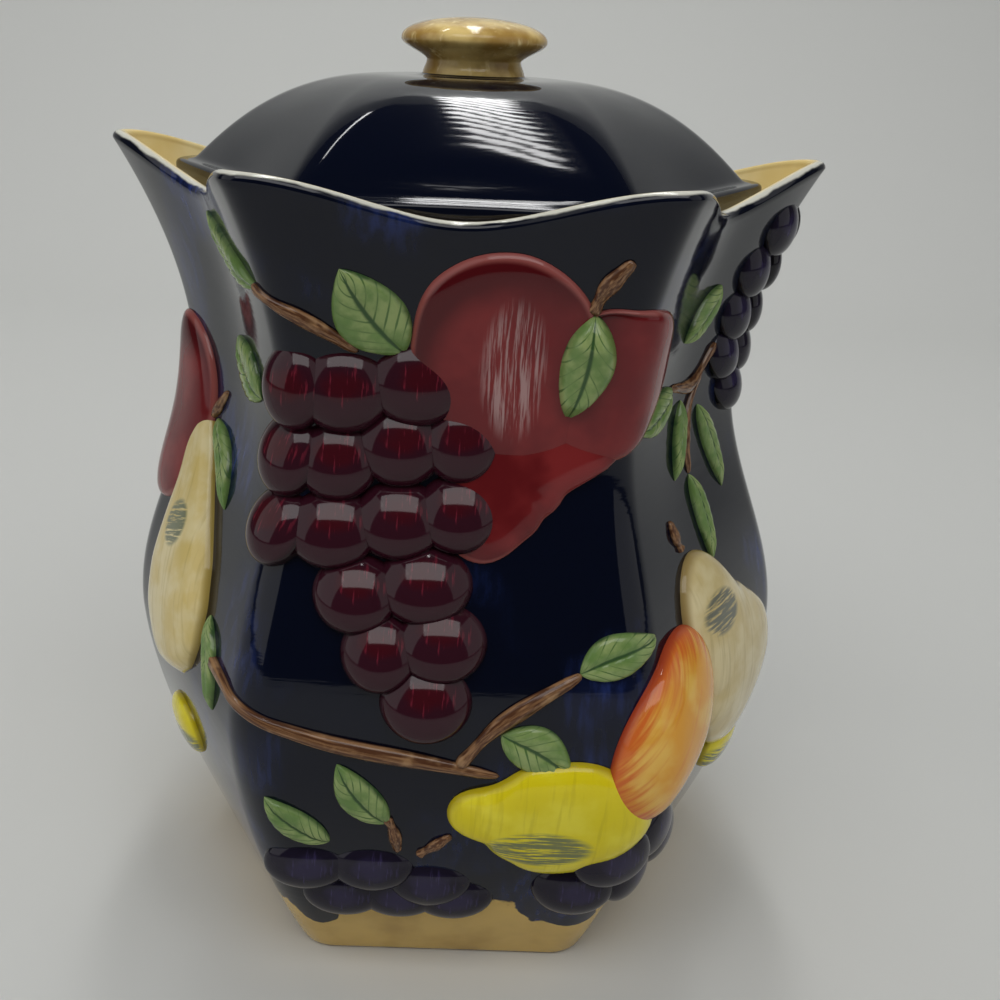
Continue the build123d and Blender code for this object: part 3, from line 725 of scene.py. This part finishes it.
def boss(turn, height, outline, proud, tilt=0.0, flatness=2.6, dents=None):
    """Grid of a relief that stands on the wall: rings of an outline from the middle out, each lifted
    by a super-ellipse that is flat on top and rounded at the edge, closed just under the wall.
    Returns points and marks: across and up in millimetres, and the share of the way to the edge."""
    angle = np.linspace(0, 2 * np.pi, SPOKES, endpoint=False)
    share = np.sin(np.linspace(0, np.pi / 2, 22))[:, None]
    across = share * outline * np.cos(angle)
    up = share * outline * np.sin(angle)
    lift = proud * np.sqrt(np.clip(1 - share**flatness, 0, 1)) * np.ones(SPOKES)
    if dents is not None:
        lift = lift + dents(across / MM, up / MM, share)
    under = np.array([1.0, 0.5, 0.0])[:, None]
    across = np.concatenate([across, under * across[-1]])
    up = np.concatenate([up, under * up[-1]])
    lift = np.concatenate([lift, np.full((len(under), SPOKES), -UNDER_WALL)])
    edge = np.broadcast_to(np.concatenate([share, under]), across.shape)
    lean = np.radians(tilt)
    x = across * np.cos(lean) - up * np.sin(lean)
    y = across * np.sin(lean) + up * np.cos(lean)
    points = on_wall(*to_wall(turn, height, x, y), lift)
    return points, np.stack([across / MM, up / MM, edge], axis=-1)


def oval(half_width, half_height, squash=0.0):
    """Distance to an oval's edge at each angle, longer across and shorter up by a share."""
    angle = np.linspace(0, 2 * np.pi, SPOKES, endpoint=False)
    base = 1 / np.hypot(np.cos(angle) / half_width, np.sin(angle) / half_height)
    return base * (1 + squash * np.cos(2 * angle))


def drawn(middle, places):
    """Outline through (turn, height mm) places round a middle: distance against angle, straight
    between two places, then evened by a short running mean."""
    turn, height = np.array(places, dtype=float).T
    across = np.interp(turn, ROUND_TURN, ROUND_LENGTH) - np.interp(middle[0], ROUND_TURN, ROUND_LENGTH)
    across = across * corner_radius(height * MM)
    up = np.interp(height * MM, WALL_HEIGHT, WALL_LENGTH)
    up = up - np.interp(middle[1] * MM, WALL_HEIGHT, WALL_LENGTH)
    angle = np.linspace(0, 2 * np.pi, SPOKES, endpoint=False)
    reach = np.interp(angle, np.arctan2(up, across), np.hypot(across, up), period=2 * np.pi)
    for _ in range(4):
        reach = (np.roll(reach, 1) + 2 * reach + np.roll(reach, -1)) / 4
    return reach


def fruit(middle, outline, proud, tilt=0.0, flatness=2.6, dents=None):
    """Maker of a fruit round a (turn, height mm) middle, proud in millimetres, on either half."""
    return lambda half: [boss(middle[0] + half, middle[1] * MM, outline, proud * MM, tilt, flatness, dents)]


def join(patches):
    """Several closed grids as one set of points, faces and marks."""
    points, faces, marks, count = [], [], [], 0
    for patch_points, patch_marks in patches:
        points.append(patch_points.reshape(-1, 3))
        marks.append(patch_marks.reshape(-1, 3))
        faces.append(quads(*patch_points.shape[:2], True) + count)
        count += len(points[-1])
    return np.concatenate(points), np.concatenate(faces), np.concatenate(marks)


def relief(name, patches, material):
    """Makes the raised piece that stands for one CAD node, from closed grids on the wall."""
    points, faces, marks = join(patches)
    piece = make_piece(name + "_relief", points, faces, material, {"paint": marks})
    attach(piece, "jar")
    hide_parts(name)


def both_sides(name, make, material):
    """One raised piece on the front half and its twin, half a turn round, on the back half."""
    relief("front_" + name, make(0.0), material)
    relief("back_" + name, make(180.0), material)


def paint_marks(material):
    """A raised piece's own marks: a socket for each of the three, and one with all."""
    paint = add(material, "Attribute", "Vector", attribute_name="paint")
    return add(material, "SeparateXYZ", Vector=paint).node.outputs, paint


def squared_distance(material, across, up, centre, half_sizes):
    """Square of the distance from a painted spot's centre, as a share of its half sizes (all mm)."""
    squares = []
    for place, middle, half_size in zip((across, up), centre, half_sizes):
        offset = add(material, "Math", operation="SUBTRACT", i0=place, i1=middle)
        share = add(material, "Math", operation="DIVIDE", i0=offset, i1=half_size)
        squares.append(add(material, "Math", operation="MULTIPLY", i0=share, i1=share))
    return add(material, "Math", operation="ADD", i0=squares[0], i1=squares[1])


def painted_spot(material, across, up, centre, half_sizes, outside, inside):
    """Share of an oval spot: 1 inside, 0 outside and a smooth step between two squared distances."""
    distance = squared_distance(material, across, up, centre, half_sizes)
    smooth = {"interpolation_type": "SMOOTHSTEP", "From_Min": outside, "From_Max": inside}
    return add(material, "MapRange", Value=distance, **smooth)


def bristles(material, paint, across_mm, along_mm, lean, roughness=0.5):
    """Noise drawn out into bristle marks: across_mm wide and along_mm long, leaning by an angle."""
    scale = (1 / across_mm, 1 / along_mm, 1)
    laid = add(material, "Mapping", Scale=scale, Rotation=(0, 0, lean), Vector=paint)
    return add(material, "TexNoise", Scale=1.0, Detail=4.0, Roughness=roughness, Vector=laid)


def apple_underglaze(name, red, dry_brushed):
    """Dark crimson underglaze under clear gloss glaze: a smooth cloudy wash, darker along the upper
    left inside its edge, with a thin pale rim where it stops and, on the large apple, a dry white
    brush dragged down beside the middle."""
    material = new_material(name)
    (across, up, edge), paint = paint_marks(material)
    wash = cloud(material, add(material, "TexCoord", "Object"), 17)
    colour = brush_over(material, red, APPLE_BRIGHT, wash, 0.38, 0.66)
    shade = squared_distance(material, across, up, (5.0, -6.0), (24.0, 28.0))
    colour = brush_over(material, colour, APPLE_DARK, shade, 0.55, 1.1)
    if dry_brushed:
        fullest = painted_spot(material, across, up, (4.0, -1.0), (8.0, 18.0), outside=1.2, inside=0.3)
        dry = bristles(material, paint, across_mm=0.7, along_mm=16.0, lean=0.2, roughness=0.6)
        colour = brush_over(material, colour, DRY_WHITE, dry, 0.44, 0.60, strength=0.55, within=fullest)
    colour = brush_over(material, colour, APPLE_RIM, edge, 0.93, 0.985)
    fire_gloss(material, colour, 0.09)
    return material


def stalk_dimple(stalk_across, stalk_up):
    """Dimple of an apple: a soft pit, 2 mm deep and 7 mm in radius, round the stalk."""

    def dent(across, up, share):
        near = ((across - stalk_across) ** 2 + (up - stalk_up) ** 2) / 7.0**2
        return -2.0 * MM * np.exp(-near) * (share < 0.97)

    return dent


apple = apple_underglaze("apple_underglaze", APPLE_RED, False)
brushed_apple = apple_underglaze("apple_underglaze_brushed", APPLE_RED, True)
low_apple = apple_underglaze("apple_underglaze_low", APPLE_LOW_RED, False)
large_edge = drawn(LARGE_APPLE, LARGE_APPLE_EDGE)
small_edge = drawn(SMALL_APPLE, SMALL_APPLE_EDGE)
large = fruit(LARGE_APPLE, large_edge, proud=4.4, flatness=4.0, dents=stalk_dimple(11, 12))
small = fruit(SMALL_APPLE, small_edge, proud=3.6, flatness=4.0, dents=stalk_dimple(-6, 14))
low = fruit(LOW_APPLE, drawn(LOW_APPLE, LOW_APPLE_EDGE), proud=3.0, flatness=3.4)
far_left = fruit((-86, 145), oval(19.8 * MM, 29.8 * MM, squash=0.02), proud=4.4, flatness=3.4)
both_sides("apple_large", large, brushed_apple)
both_sides("apple_small", small, apple)
both_sides("apple_low", low, low_apple)
relief("front_side_apple", far_left(0.0), apple)


# ---- Grapes and plums -----------------------------------------------------------------------------
# Clay berries pressed side by side, each one leaning out a little over the one below. Claret or
# purple-black underglaze with rubbed streaks, a painted highlight on the crown and painted shade in the
# clefts.
BERRY_SINK = 1.0 * MM  # how far a berry's middle lies under the wall
BERRY_LEAN = 16.0
BERRY_ROOT = 2.9 * MM  # less than the wall, so that no berry shows inside
GRAPE_SIZES = (11.6 * MM, 10.8 * MM, 5.2 * MM)  # half width, half height, how far it stands proud
SLOE_SIZES = (8.4 * MM, 8.4 * MM, 4.0 * MM)
CORNER_PLUM_SIZES = (11.5 * MM, 9.5 * MM, 4.8 * MM)
FOOT_PLUM_SIZES = (11.6 * MM, 8.2 * MM, 3.8 * MM)
CLARET_STAINS_AND_SHADING = ("1a0a10", "34121e", "420c16", "8a2a3c")  # painted shade in the cleft, flank, painted highlight on the crown, and rubbed streak
PLUM_STAINS_AND_SHADING = ("0d0a12", "1b1626", "2a2440", "453c66")
CLARET_PLACES = (  # turn, height mm, share of the full width
    (-29.0, 171.5, 0.72), (-20.8, 171.6, 1), (-7.8, 173.6, 1.04),
    (-30.5, 154.5, 0.78), (-22.0, 154.6, 0.9), (-10.9, 158.5, 0.96), (1.0, 159.6, 0.86),
    (-31.0, 137.4, 0.78), (-21.6, 138.2, 1), (-10.4, 140.6, 1), (0.8, 142.6, 0.92),
    (-16.3, 123.2, 0.94), (-4.8, 125.6, 1.04), (-11.3, 109.8, 0.86), (-1.4, 112.4, 1), (-3.4, 98, 1),
)
CORNER_PLUM_ROWS = (  # height mm, first turn, how many, turn between two
    (49, 29, 2, 11.5), (37, 24, 3, 12),
)
FOOT_PLUM_ROWS = ((43, -24, 2, 11), (37, -2.5, 1, 0), (31, -19, 3, 10.5))
SLOE_ROWS = ((204, 85, 2, 8), (193, 82, 2, 9), (181, 81, 2, 9), (170, 80, 2, 9), (160, 84, 1, 0))


def berry(turn, height, half_width, half_height, proud):
    """Closed ellipsoid on the wall, tipped so that its lower edge stands out, and cut flat at its
    root inside the wall. Its marks run across and up in millimetres, and from 0 on the crown to 1
    where it meets the wall."""
    angle = np.linspace(0, 2 * np.pi, 40, endpoint=False)
    fall = np.linspace(0, np.pi, 27)[:, None]
    centre = on_wall(turn, height, -BERRY_SINK)
    straight_out = on_wall(turn, height, 1.0) - on_wall(turn, height, 0.0)
    sideways = np.cross([0, 0, 1.0], straight_out)
    sideways /= np.linalg.norm(sideways)
    straight_up = np.cross(straight_out, sideways)
    lean = np.radians(BERRY_LEAN)
    outwards = straight_out * np.cos(lean) + straight_up * np.sin(lean)
    upwards = straight_up * np.cos(lean) - straight_out * np.sin(lean)
    across = half_width * np.sin(fall) * np.cos(angle)
    up = half_height * np.sin(fall) * np.sin(angle)
    out = (proud + BERRY_SINK) * np.cos(fall) * np.ones_like(angle)
    points = centre + across[..., None] * sideways + up[..., None] * upwards + out[..., None] * outwards
    too_deep = np.clip((centre - points) @ straight_out - (BERRY_ROOT - BERRY_SINK), 0, None)
    points = points + too_deep[..., None] * straight_out
    edge = np.broadcast_to(fall / (np.pi / 2), across.shape)
    return points, np.stack([across / MM, up / MM, edge], axis=-1)


def in_rows(rows):
    """Places of full-sized berries in rows of (height mm, first turn, how many, turn between two)."""
    return [(turn + step * gap, height, 1) for height, turn, count, gap in rows for step in range(count)]


def bunch(places, half_width, half_height, proud):
    """Maker of berries at (turn, height mm, share of the full width) places."""
    return lambda half: [
        berry(np.array(turn + half), np.array(height * MM), half_width * width, half_height, proud)
        for turn, height, width in places
    ]


def berry_underglaze(name, edge_shade, flank, crown_highlight, streak):
    """Stain rubbed back on each berry, with light and shade painted in: a painted highlight on the
    crown with rubbed streaks, mid-tone flank, and painted shade, near black, towards the clefts."""
    material = new_material(name)
    (across, up, edge), paint = paint_marks(material)
    crown = (0.5, 1.0), (7.0, 5.0)
    wash = cloud(material, add(material, "TexCoord", "Object"), 6, detail=4.0)
    fall = squared_distance(material, across, up, *crown)
    fall = add(material, "Math", operation="MULTIPLY_ADD", i0=wash, i1=1.2, i2=fall)
    # painted highlight: lighter towards the crown, a little above the berry's middle
    colour = brush_over(material, flank, crown_highlight, fall, 1.5, 0.6)
    # painted shade: near black towards the edge, where a berry meets the wall and the next berry
    colour = brush_over(material, colour, edge_shade, edge, 0.72, 0.98)
    rubbed = bristles(material, paint, across_mm=0.8, along_mm=6.0, lean=0.9)
    on_crown = painted_spot(material, across, up, *crown, outside=1.3, inside=0.6)
    colour = brush_over(material, colour, streak, rubbed, 0.56, 0.70, strength=0.6, within=on_crown)
    fire_gloss(material, colour, 0.08)
    return material


claret = berry_underglaze("claret_underglaze", *CLARET_STAINS_AND_SHADING)
plum_stain_and_shading = berry_underglaze("plum_underglaze", *PLUM_STAINS_AND_SHADING)
both_sides("claret_grapes", bunch(CLARET_PLACES, *GRAPE_SIZES), claret)
both_sides("corner_plums", bunch(in_rows(CORNER_PLUM_ROWS), *CORNER_PLUM_SIZES), plum_stain_and_shading)
both_sides("foot_plums", bunch(in_rows(FOOT_PLUM_ROWS), *FOOT_PLUM_SIZES), plum_stain_and_shading)
relief("front_sloe_grapes", bunch(in_rows(SLOE_ROWS), *SLOE_SIZES)(0.0), plum_stain_and_shading)


# ---- Yellow fruit ---------------------------------------------------------------------------------
# A knobbly quince, small lemons, two kinds of pear and an apricot, all low relief. Yellow and orange
# underglaze over the pale clay, with a few grey-green strokes of a nearly dry brush.
PEAR_PROUD = 6.0 * MM
PEAR_BASE = (-58, 79)
PEAR_NECK = (-76, 149)
PEAR_HALF_WIDTH = 22.0 * MM
PEAR_STOPS = [0, 0.04, 0.12, 0.26, 0.42, 0.58, 0.74, 0.88, 0.96, 1.0]  # shares of the way to the neck
PEAR_WIDTHS = [0, 0.48, 0.80, 1.0, 0.93, 0.70, 0.47, 0.36, 0.25, 0.0]  # shares of the half width there
QUINCE = (17, 63)
QUINCE_EDGE = (
    (0.3, 65.5), (1.9, 72), (7.5, 74.4), (10, 77), (12.8, 80.9), (18, 82.4), (23.8, 82.4), (29, 76.5),
    (33, 69), (35, 60.5), (32, 55), (28, 51), (20.4, 45), (15, 46), (11.8, 49.5), (6.5, 58), (3, 59),
    (1.2, 61),
)
RUSSET_PEAR = (64, 88)
RUSSET_PEAR_EDGE = (
    (53, 124), (48, 121), (45.3, 115), (44.6, 107), (46, 97), (50, 83), (56, 68), (64, 57), (71, 51),
    (78, 52), (81.5, 60), (83.4, 70), (82.8, 84), (80.5, 94), (77, 99), (73, 103.4), (67.2, 109),
    (62.9, 116), (58.5, 121.5),
)


def wall_line(half, base, tip):
    """A line on the wall between two (turn, height mm) places: its length, its heading as shares
    across and up, and the turn and height of its middle."""
    turns = np.array([base[0], tip[0]]) + half
    levels = np.array([base[1], tip[1]]) * MM
    length_round = np.diff(np.interp(turns, ROUND_TURN, ROUND_LENGTH))[0] * corner_radius(levels.mean())
    length_up = np.diff(np.interp(levels, WALL_HEIGHT, WALL_LENGTH))[0]
    length = np.hypot(length_round, length_up)
    middle = to_wall(turns[0], levels[0], length_round / 2, length_up / 2)
    return length, np.array([length_round, length_up]) / length, middle


def pad_shares(rows, columns):
    """Shares along a pad, from 0 to 1 and closer together at both ends, and across it, from -1 to 1
    and closer together at both edges."""
    along = (1 - np.cos(np.linspace(0, np.pi, rows)))[:, None] / 2
    return along, np.sin(np.linspace(-np.pi / 2, np.pi / 2, columns))[None, :]


def pad(line, along, side, breadth, lift, bow=0.0):
    """Closed pad along a line on the wall, a lifted front and a back of the same outline just under
    the wall: across is a share of the breadth, bent by a bow. Returns its points, how far they lie
    across and along from its middle, and their share to the side."""
    length, heading, middle = line
    side = np.concatenate([side, side[:, ::-1]], axis=1) * np.ones_like(along)
    lift = np.concatenate([lift, np.full_like(lift, -UNDER_WALL)], axis=1)
    lift[[0, -1]] = -UNDER_WALL
    across = side * breadth + bow
    run = (along - 0.5) * length * np.ones_like(side)
    x = run * heading[0] - across * heading[1]
    y = run * heading[1] + across * heading[0]
    return on_wall(*to_wall(*middle, x, y), lift), across, run, side


def pear(half):
    """Pad from a pear's round base to its stalk end: its half width is drawn by shares along the
    way, evened by a short running mean, and its lift is a flattened arch across."""
    along, side = pad_shares(64, 33)
    breadth = PEAR_HALF_WIDTH * np.interp(along, PEAR_STOPS, PEAR_WIDTHS)
    for _ in range(2):
        breadth[1:-1] = (breadth[:-2] + 2 * breadth[1:-1] + breadth[2:]) / 4
    arch = np.sqrt(np.clip(1 - np.abs(side) ** 3, 0, 1)) * np.clip(breadth / PEAR_HALF_WIDTH, 0, 1) ** 0.5
    lift = PEAR_PROUD * arch * np.clip(14 * along * (1 - along), 0, 1) ** 0.5
    points, across, run, side = pad(wall_line(half, PEAR_BASE, PEAR_NECK), along, side, -breadth, lift)
    edge = np.maximum(np.abs(side), np.abs(2 * along - 1) ** 6)
    return [(points, np.stack([-across / MM, run / MM, edge], axis=-1))]


def fruit_underglaze(name, deep, main, pale, strokes=None, blush=None):
    """Translucent fruit colour over pale clay under clear gloss glaze: cloudy wash, faint strokes
    along the fruit, and a deeper edge. Some have a patch of grey-green strokes, given by its colour,
    middle, half sizes (mm) and lean, and some a blush that grows towards the edge."""
    material = new_material(name)
    (across, up, edge), paint = paint_marks(material)
    wash = cloud(material, add(material, "TexCoord", "Object"), 11)
    colour = brush_over(material, main, pale, wash, 0.38, 0.66)
    faint = bristles(material, paint, across_mm=1.6, along_mm=22.0, lean=0.0)
    colour = brush_over(material, colour, blush or deep, faint, 0.52, 0.70, strength=0.3)
    if blush:
        hot = bristles(material, paint, across_mm=0.9, along_mm=16.0, lean=0.1)
        hot = add(material, "Math", operation="MULTIPLY_ADD", i0=hot, i1=0.7, i2=edge)
        colour = brush_over(material, colour, blush, hot, 1.0, 1.35)
    if strokes:
        grey_green, middle, half_sizes, lean = strokes
        nearly_dry = bristles(material, paint, across_mm=12.0, along_mm=0.9, lean=lean, roughness=0.6)
        patch = painted_spot(material, across, up, middle, half_sizes, outside=1.15, inside=0.6)
        colour = brush_over(material, colour, grey_green, nearly_dry, 0.40, 0.52, within=patch)
    colour = brush_over(material, colour, deep, edge, 0.93, 1.0)
    fire_gloss(material, colour, 0.09)
    return material


quince_strokes = ("7f8458", (-1.0, -5.0), (14.0, 6.5), 0.06)
pear_strokes = ("7d8267", (1.0, 4.0), (7.0, 7.0), 0.5)
russet_strokes = ("77796c", (-14.0, 19.0), (10.0, 6.0), 0.1)
quince_yellow = fruit_underglaze("quince_underglaze", "c0ac1c", "e9d71c", "f4e640", quince_strokes)
pear_cream = fruit_underglaze("pear_underglaze", "b09850", "dcc57e", "e8d8a4", pear_strokes)
russet_beige = fruit_underglaze("russet_underglaze", "a38c58", "d3bf86", "e3d4a4", russet_strokes)
apricot_orange = fruit_underglaze("apricot_underglaze", "b4482a", "eaa63a", "f2c25e", blush="dc6f30")
quince = fruit(QUINCE, drawn(QUINCE, QUINCE_EDGE), proud=5.2, flatness=3.8)
russet_pear = fruit(RUSSET_PEAR, drawn(RUSSET_PEAR, RUSSET_PEAR_EDGE), proud=6.6, flatness=2.8)
apricot = fruit((37.5, 86), oval(19.6 * MM, 26.4 * MM), proud=7.8, tilt=-36, flatness=2.3)
side_lemon = fruit((-66, 56), oval(12.8 * MM, 9.8 * MM), proud=3.6, tilt=20)
corner_lemon = fruit((72, 52), oval(13.8 * MM, 9.8 * MM), proud=4.8, tilt=-20)
both_sides("quince", quince, quince_yellow)
both_sides("apricot", apricot, apricot_orange)
both_sides("yellow_pear", pear, pear_cream)
both_sides("russet_pear", russet_pear, russet_beige)
both_sides("side_lemon", side_lemon, quince_yellow)
both_sides("corner_lemon", corner_lemon, quince_yellow)


# ---- Leaves ---------------------------------------------------------------------------------------
# Thin pads of clay with a pressed midrib and side veins. Grass-green underglaze, and a darker brush
# in the veins and along the edge.
LEAF_PROUD = 2.2 * MM
APPLE_LEAF_PROUD = 7.2 * MM  # it lies over the apple
MIDRIB = 0.7 * MM  # depth, and half width
VEIN_DEPTH = 0.28 * MM
VEIN_PAIRS = 7
VEIN_SLANT = 2.2
LEAF_BOW = 0.06
LEAF_GREEN = "6c8b4c"
LEAF_PALE = "98aa6c"
LEAF_VEIN = "55743f"
LEAF_DARK = "3c5a32"
LEAVES = {  # (turn, height mm) of base and tip, width mm
    "vine_leaf": [((-10.5, 181), (-19.5, 201), 17)],
    "apple_leaf": [((22.5, 193), (20.5, 167), 13, APPLE_LEAF_PROUD)],
    "branch_leaves": [((21, 106), (34, 113), 11), ((9, 90), (20, 79), 13)],
    "plum_leaves": [((-19.5, 53), (-28, 68), 10), ((-9.5, 61), (-17, 80), 11)],
    "shoot_leaf": [((-33, 195), (-58, 207), 8)],
    "pear_leaves": [((-70, 148), (-54, 129), 9), ((-47, 105), (-42, 82), 8), ((-43, 163), (-58, 175), 14)],
    "willow_leaves": [
        ((70, 191), (57, 178), 10),
        ((52, 167), (35, 161), 10),
        ((59, 162), (53, 142), 7),
        ((69, 158), (76, 132), 8),
        ((61, 141), (63, 116), 8),
    ],
}


def leaf(half, base, tip, width, proud=LEAF_PROUD):
    """Pad between two (turn, height mm) places: across is a share of a pointed width curve, lifted
    by a flat arch, less a groove down the middle and slanted grooves to its sides. Its marks are the
    shares to the side and along."""
    along, side = pad_shares(44, 25)
    line = wall_line(half, base, tip)
    breadth = width * MM / 2 * np.sin(np.pi * along**0.85) ** 0.8
    arch = proud * np.sqrt(np.clip(1 - side**4, 0, 1)) * np.clip(6 * along * (1 - along), 0, 1) ** 0.5
    midrib = MIDRIB * np.exp(-((side * breadth / MIDRIB) ** 2))
    wave = 2 * np.pi * (VEIN_PAIRS * along - VEIN_SLANT * np.abs(side))
    veins = VEIN_DEPTH * (0.5 + 0.5 * np.cos(wave)) ** 3
    lift = np.maximum(arch - (midrib + veins) * np.clip(arch / proud, 0, 1), -UNDER_WALL)
    bow = LEAF_BOW * line[0] * np.sin(np.pi * along)
    points, _, _, side = pad(line, along, side, breadth, lift, bow)
    return points, np.stack([side, along + 0 * side, 0 * side], axis=-1)


def leaf_underglaze():
    """Grass-green underglaze under clear gloss glaze: paler and yellower in the middle, dark green
    in the midrib and the slanted side veins, and brushed darker along the edge."""
    material = new_material("leaf_underglaze")
    (side, along, _), _ = paint_marks(material)
    wash = cloud(material, add(material, "TexCoord", "Object"), 6, detail=4.0)
    colour = brush_over(material, LEAF_GREEN, LEAF_PALE, wash, 0.35, 0.65)
    spread = add(material, "Math", operation="ABSOLUTE", i0=side)
    wave = add(material, "Math", operation="MULTIPLY", i0=spread, i1=-VEIN_SLANT)
    wave = add(material, "Math", operation="MULTIPLY_ADD", i0=along, i1=VEIN_PAIRS, i2=wave)
    wave = add(material, "Math", operation="MULTIPLY", i0=wave, i1=2 * np.pi)
    wave = add(material, "Math", operation="COSINE", i0=wave)
    veins = add(material, "Math", operation="MULTIPLY_ADD", i0=wash, i1=0.9, i2=wave)
    colour = brush_over(material, colour, LEAF_VEIN, veins, 1.28, 1.55)
    colour = brush_over(material, colour, LEAF_DARK, spread, 0.12, 0.03)
    edge = add(material, "Math", operation="MULTIPLY_ADD", i0=wash, i1=0.5, i2=spread)
    colour = brush_over(material, colour, LEAF_DARK, edge, 1.12, 1.32)
    fire_gloss(material, colour, 0.12)
    return material


green = leaf_underglaze()
for name, places in LEAVES.items():
    both_sides(name, lambda half: [leaf(half, *place) for place in places], green)


# ---- Twigs and stalks -----------------------------------------------------------------------------
# Rolled coils of clay pressed to the wall, scored along their length. Brown underglaze, rubbed off
# the ridges so that a lighter tan shows, with painted shade down the flanks where a twig meets the wall.
TWIG_BROWN = "573724"
TWIG_TAN = "96704e"
TWIG_RUBBED = "b08a62"
# painted shade on a twig's flanks, where it turns in to meet the wall
TWIG_FLANK_SHADE = "1c120d"
TWIG_SCORES = 5
TWIG_GRAIN = (2.2, 7.2, 0)  # streaks to each radian round it and to its whole length
TWIGS = {  # radius mm, and (turn, height mm) places
    "apple_stalk": (2.4, [(22, 193), (23, 199), (25.5, 206)]),
    "branch": (
        2.6,
        [(-47, 97), (-32, 93), (-18, 86), (-2, 81.5), (9, 78)],
        [(2, 80.6), (9, 93), (21.5, 106)],
    ),
    "plum_twigs": (1.9, [(-9.5, 63), (-8.4, 57), (-8, 50)], [(-4.5, 49), (-1.5, 53), (1.5, 57)]),
    "shoot_twig": (2.1, [(-34, 195.5), (-27, 190), (-18, 181)]),
    "pear_stalk": (1.9, [(-75, 145), (-71, 150), (-66, 157)]),
    "willow_twigs": (1.9, [(75, 174), (65, 165), (52, 167)], [(69, 168), (62, 155), (61, 141)]),
    "russet_stalk": (1.9, [(50, 125), (48, 129), (47, 134)]),
}


def twig(half, places, radius):
    """Closed tube along a smooth curve through (turn, height mm) places: a cubic through the points
    with evenly spaced parameters, carried round by the wall's own normal, thinner at both ends and
    scored by waves round its girth. Its marks are the angle round it, how far along, and the angle's
    cosine, which is 1 on top."""
    places = np.array(places, dtype=float)
    last = len(places) - 1
    share = np.linspace(0, last, 16 * len(places))
    slope = np.gradient(places, axis=0)
    left = np.clip(share.astype(int), 0, last - 1)
    t = (share - left)[:, None]
    line = (
        places[left] * (2 * t**3 - 3 * t**2 + 1)
        + slope[left] * (t**3 - 2 * t**2 + t)
        + places[left + 1] * (3 * t**2 - 2 * t**3)
        + slope[left + 1] * (t**3 - t**2)
    )
    turn, height = line[:, 0] + half, line[:, 1] * MM
    middle = on_wall(turn, height, np.zeros_like(turn))
    outwards = on_wall(turn, height, np.ones_like(turn)) - middle
    sideways = np.cross(np.gradient(middle, axis=0), outwards)
    sideways /= np.linalg.norm(sideways, axis=1, keepdims=True)
    run = (share / last)[:, None]
    girth = radius * (0.82 + 0.18 * np.cos(9 * run + 1)) * np.clip(12 * np.minimum(run, 1 - run), 0, 1) ** 0.4
    angle = np.linspace(0, 2 * np.pi, 20, endpoint=False)
    ring = girth * (1 - 0.06 * (1 + np.cos(TWIG_SCORES * angle + 3 * run)))
    out = (ring * np.cos(angle))[..., None] * outwards[:, None, :]
    aside = (ring * np.sin(angle))[..., None] * sideways[:, None, :]
    marks = np.stack(np.broadcast_arrays(angle, run, np.cos(angle)), axis=-1)
    return middle[:, None, :] + out + aside, marks


def twig_underglaze():
    """Brown iron underglaze under clear gloss glaze: dark streaks along the twig over tan, and painted shade,
    near black, down its flanks towards the wall.
    """
    material = new_material("twig_underglaze")
    (_, _, top), paint = paint_marks(material)
    laid = add(material, "Mapping", Scale=TWIG_GRAIN, Vector=paint)
    streaks = add(material, "TexNoise", Scale=1.0, Detail=4.0, Vector=laid)
    patches = cloud(material, add(material, "TexCoord", "Object"), 8)
    colour = brush_over(material, TWIG_BROWN, TWIG_TAN, streaks, 0.42, 0.62)
    colour = brush_over(material, colour, TWIG_RUBBED, patches, 0.58, 0.75)
    # painted shade: darker down the flanks, from the lit top towards the wall
    colour = brush_over(material, colour, TWIG_FLANK_SHADE, top, 0.35, -0.1)
    fire_gloss(material, colour, 0.14)
    return material


bark = twig_underglaze()
for name, (radius, *paths) in TWIGS.items():
    both_sides(name, lambda half: [twig(half, path, radius * MM) for path in paths], bark)
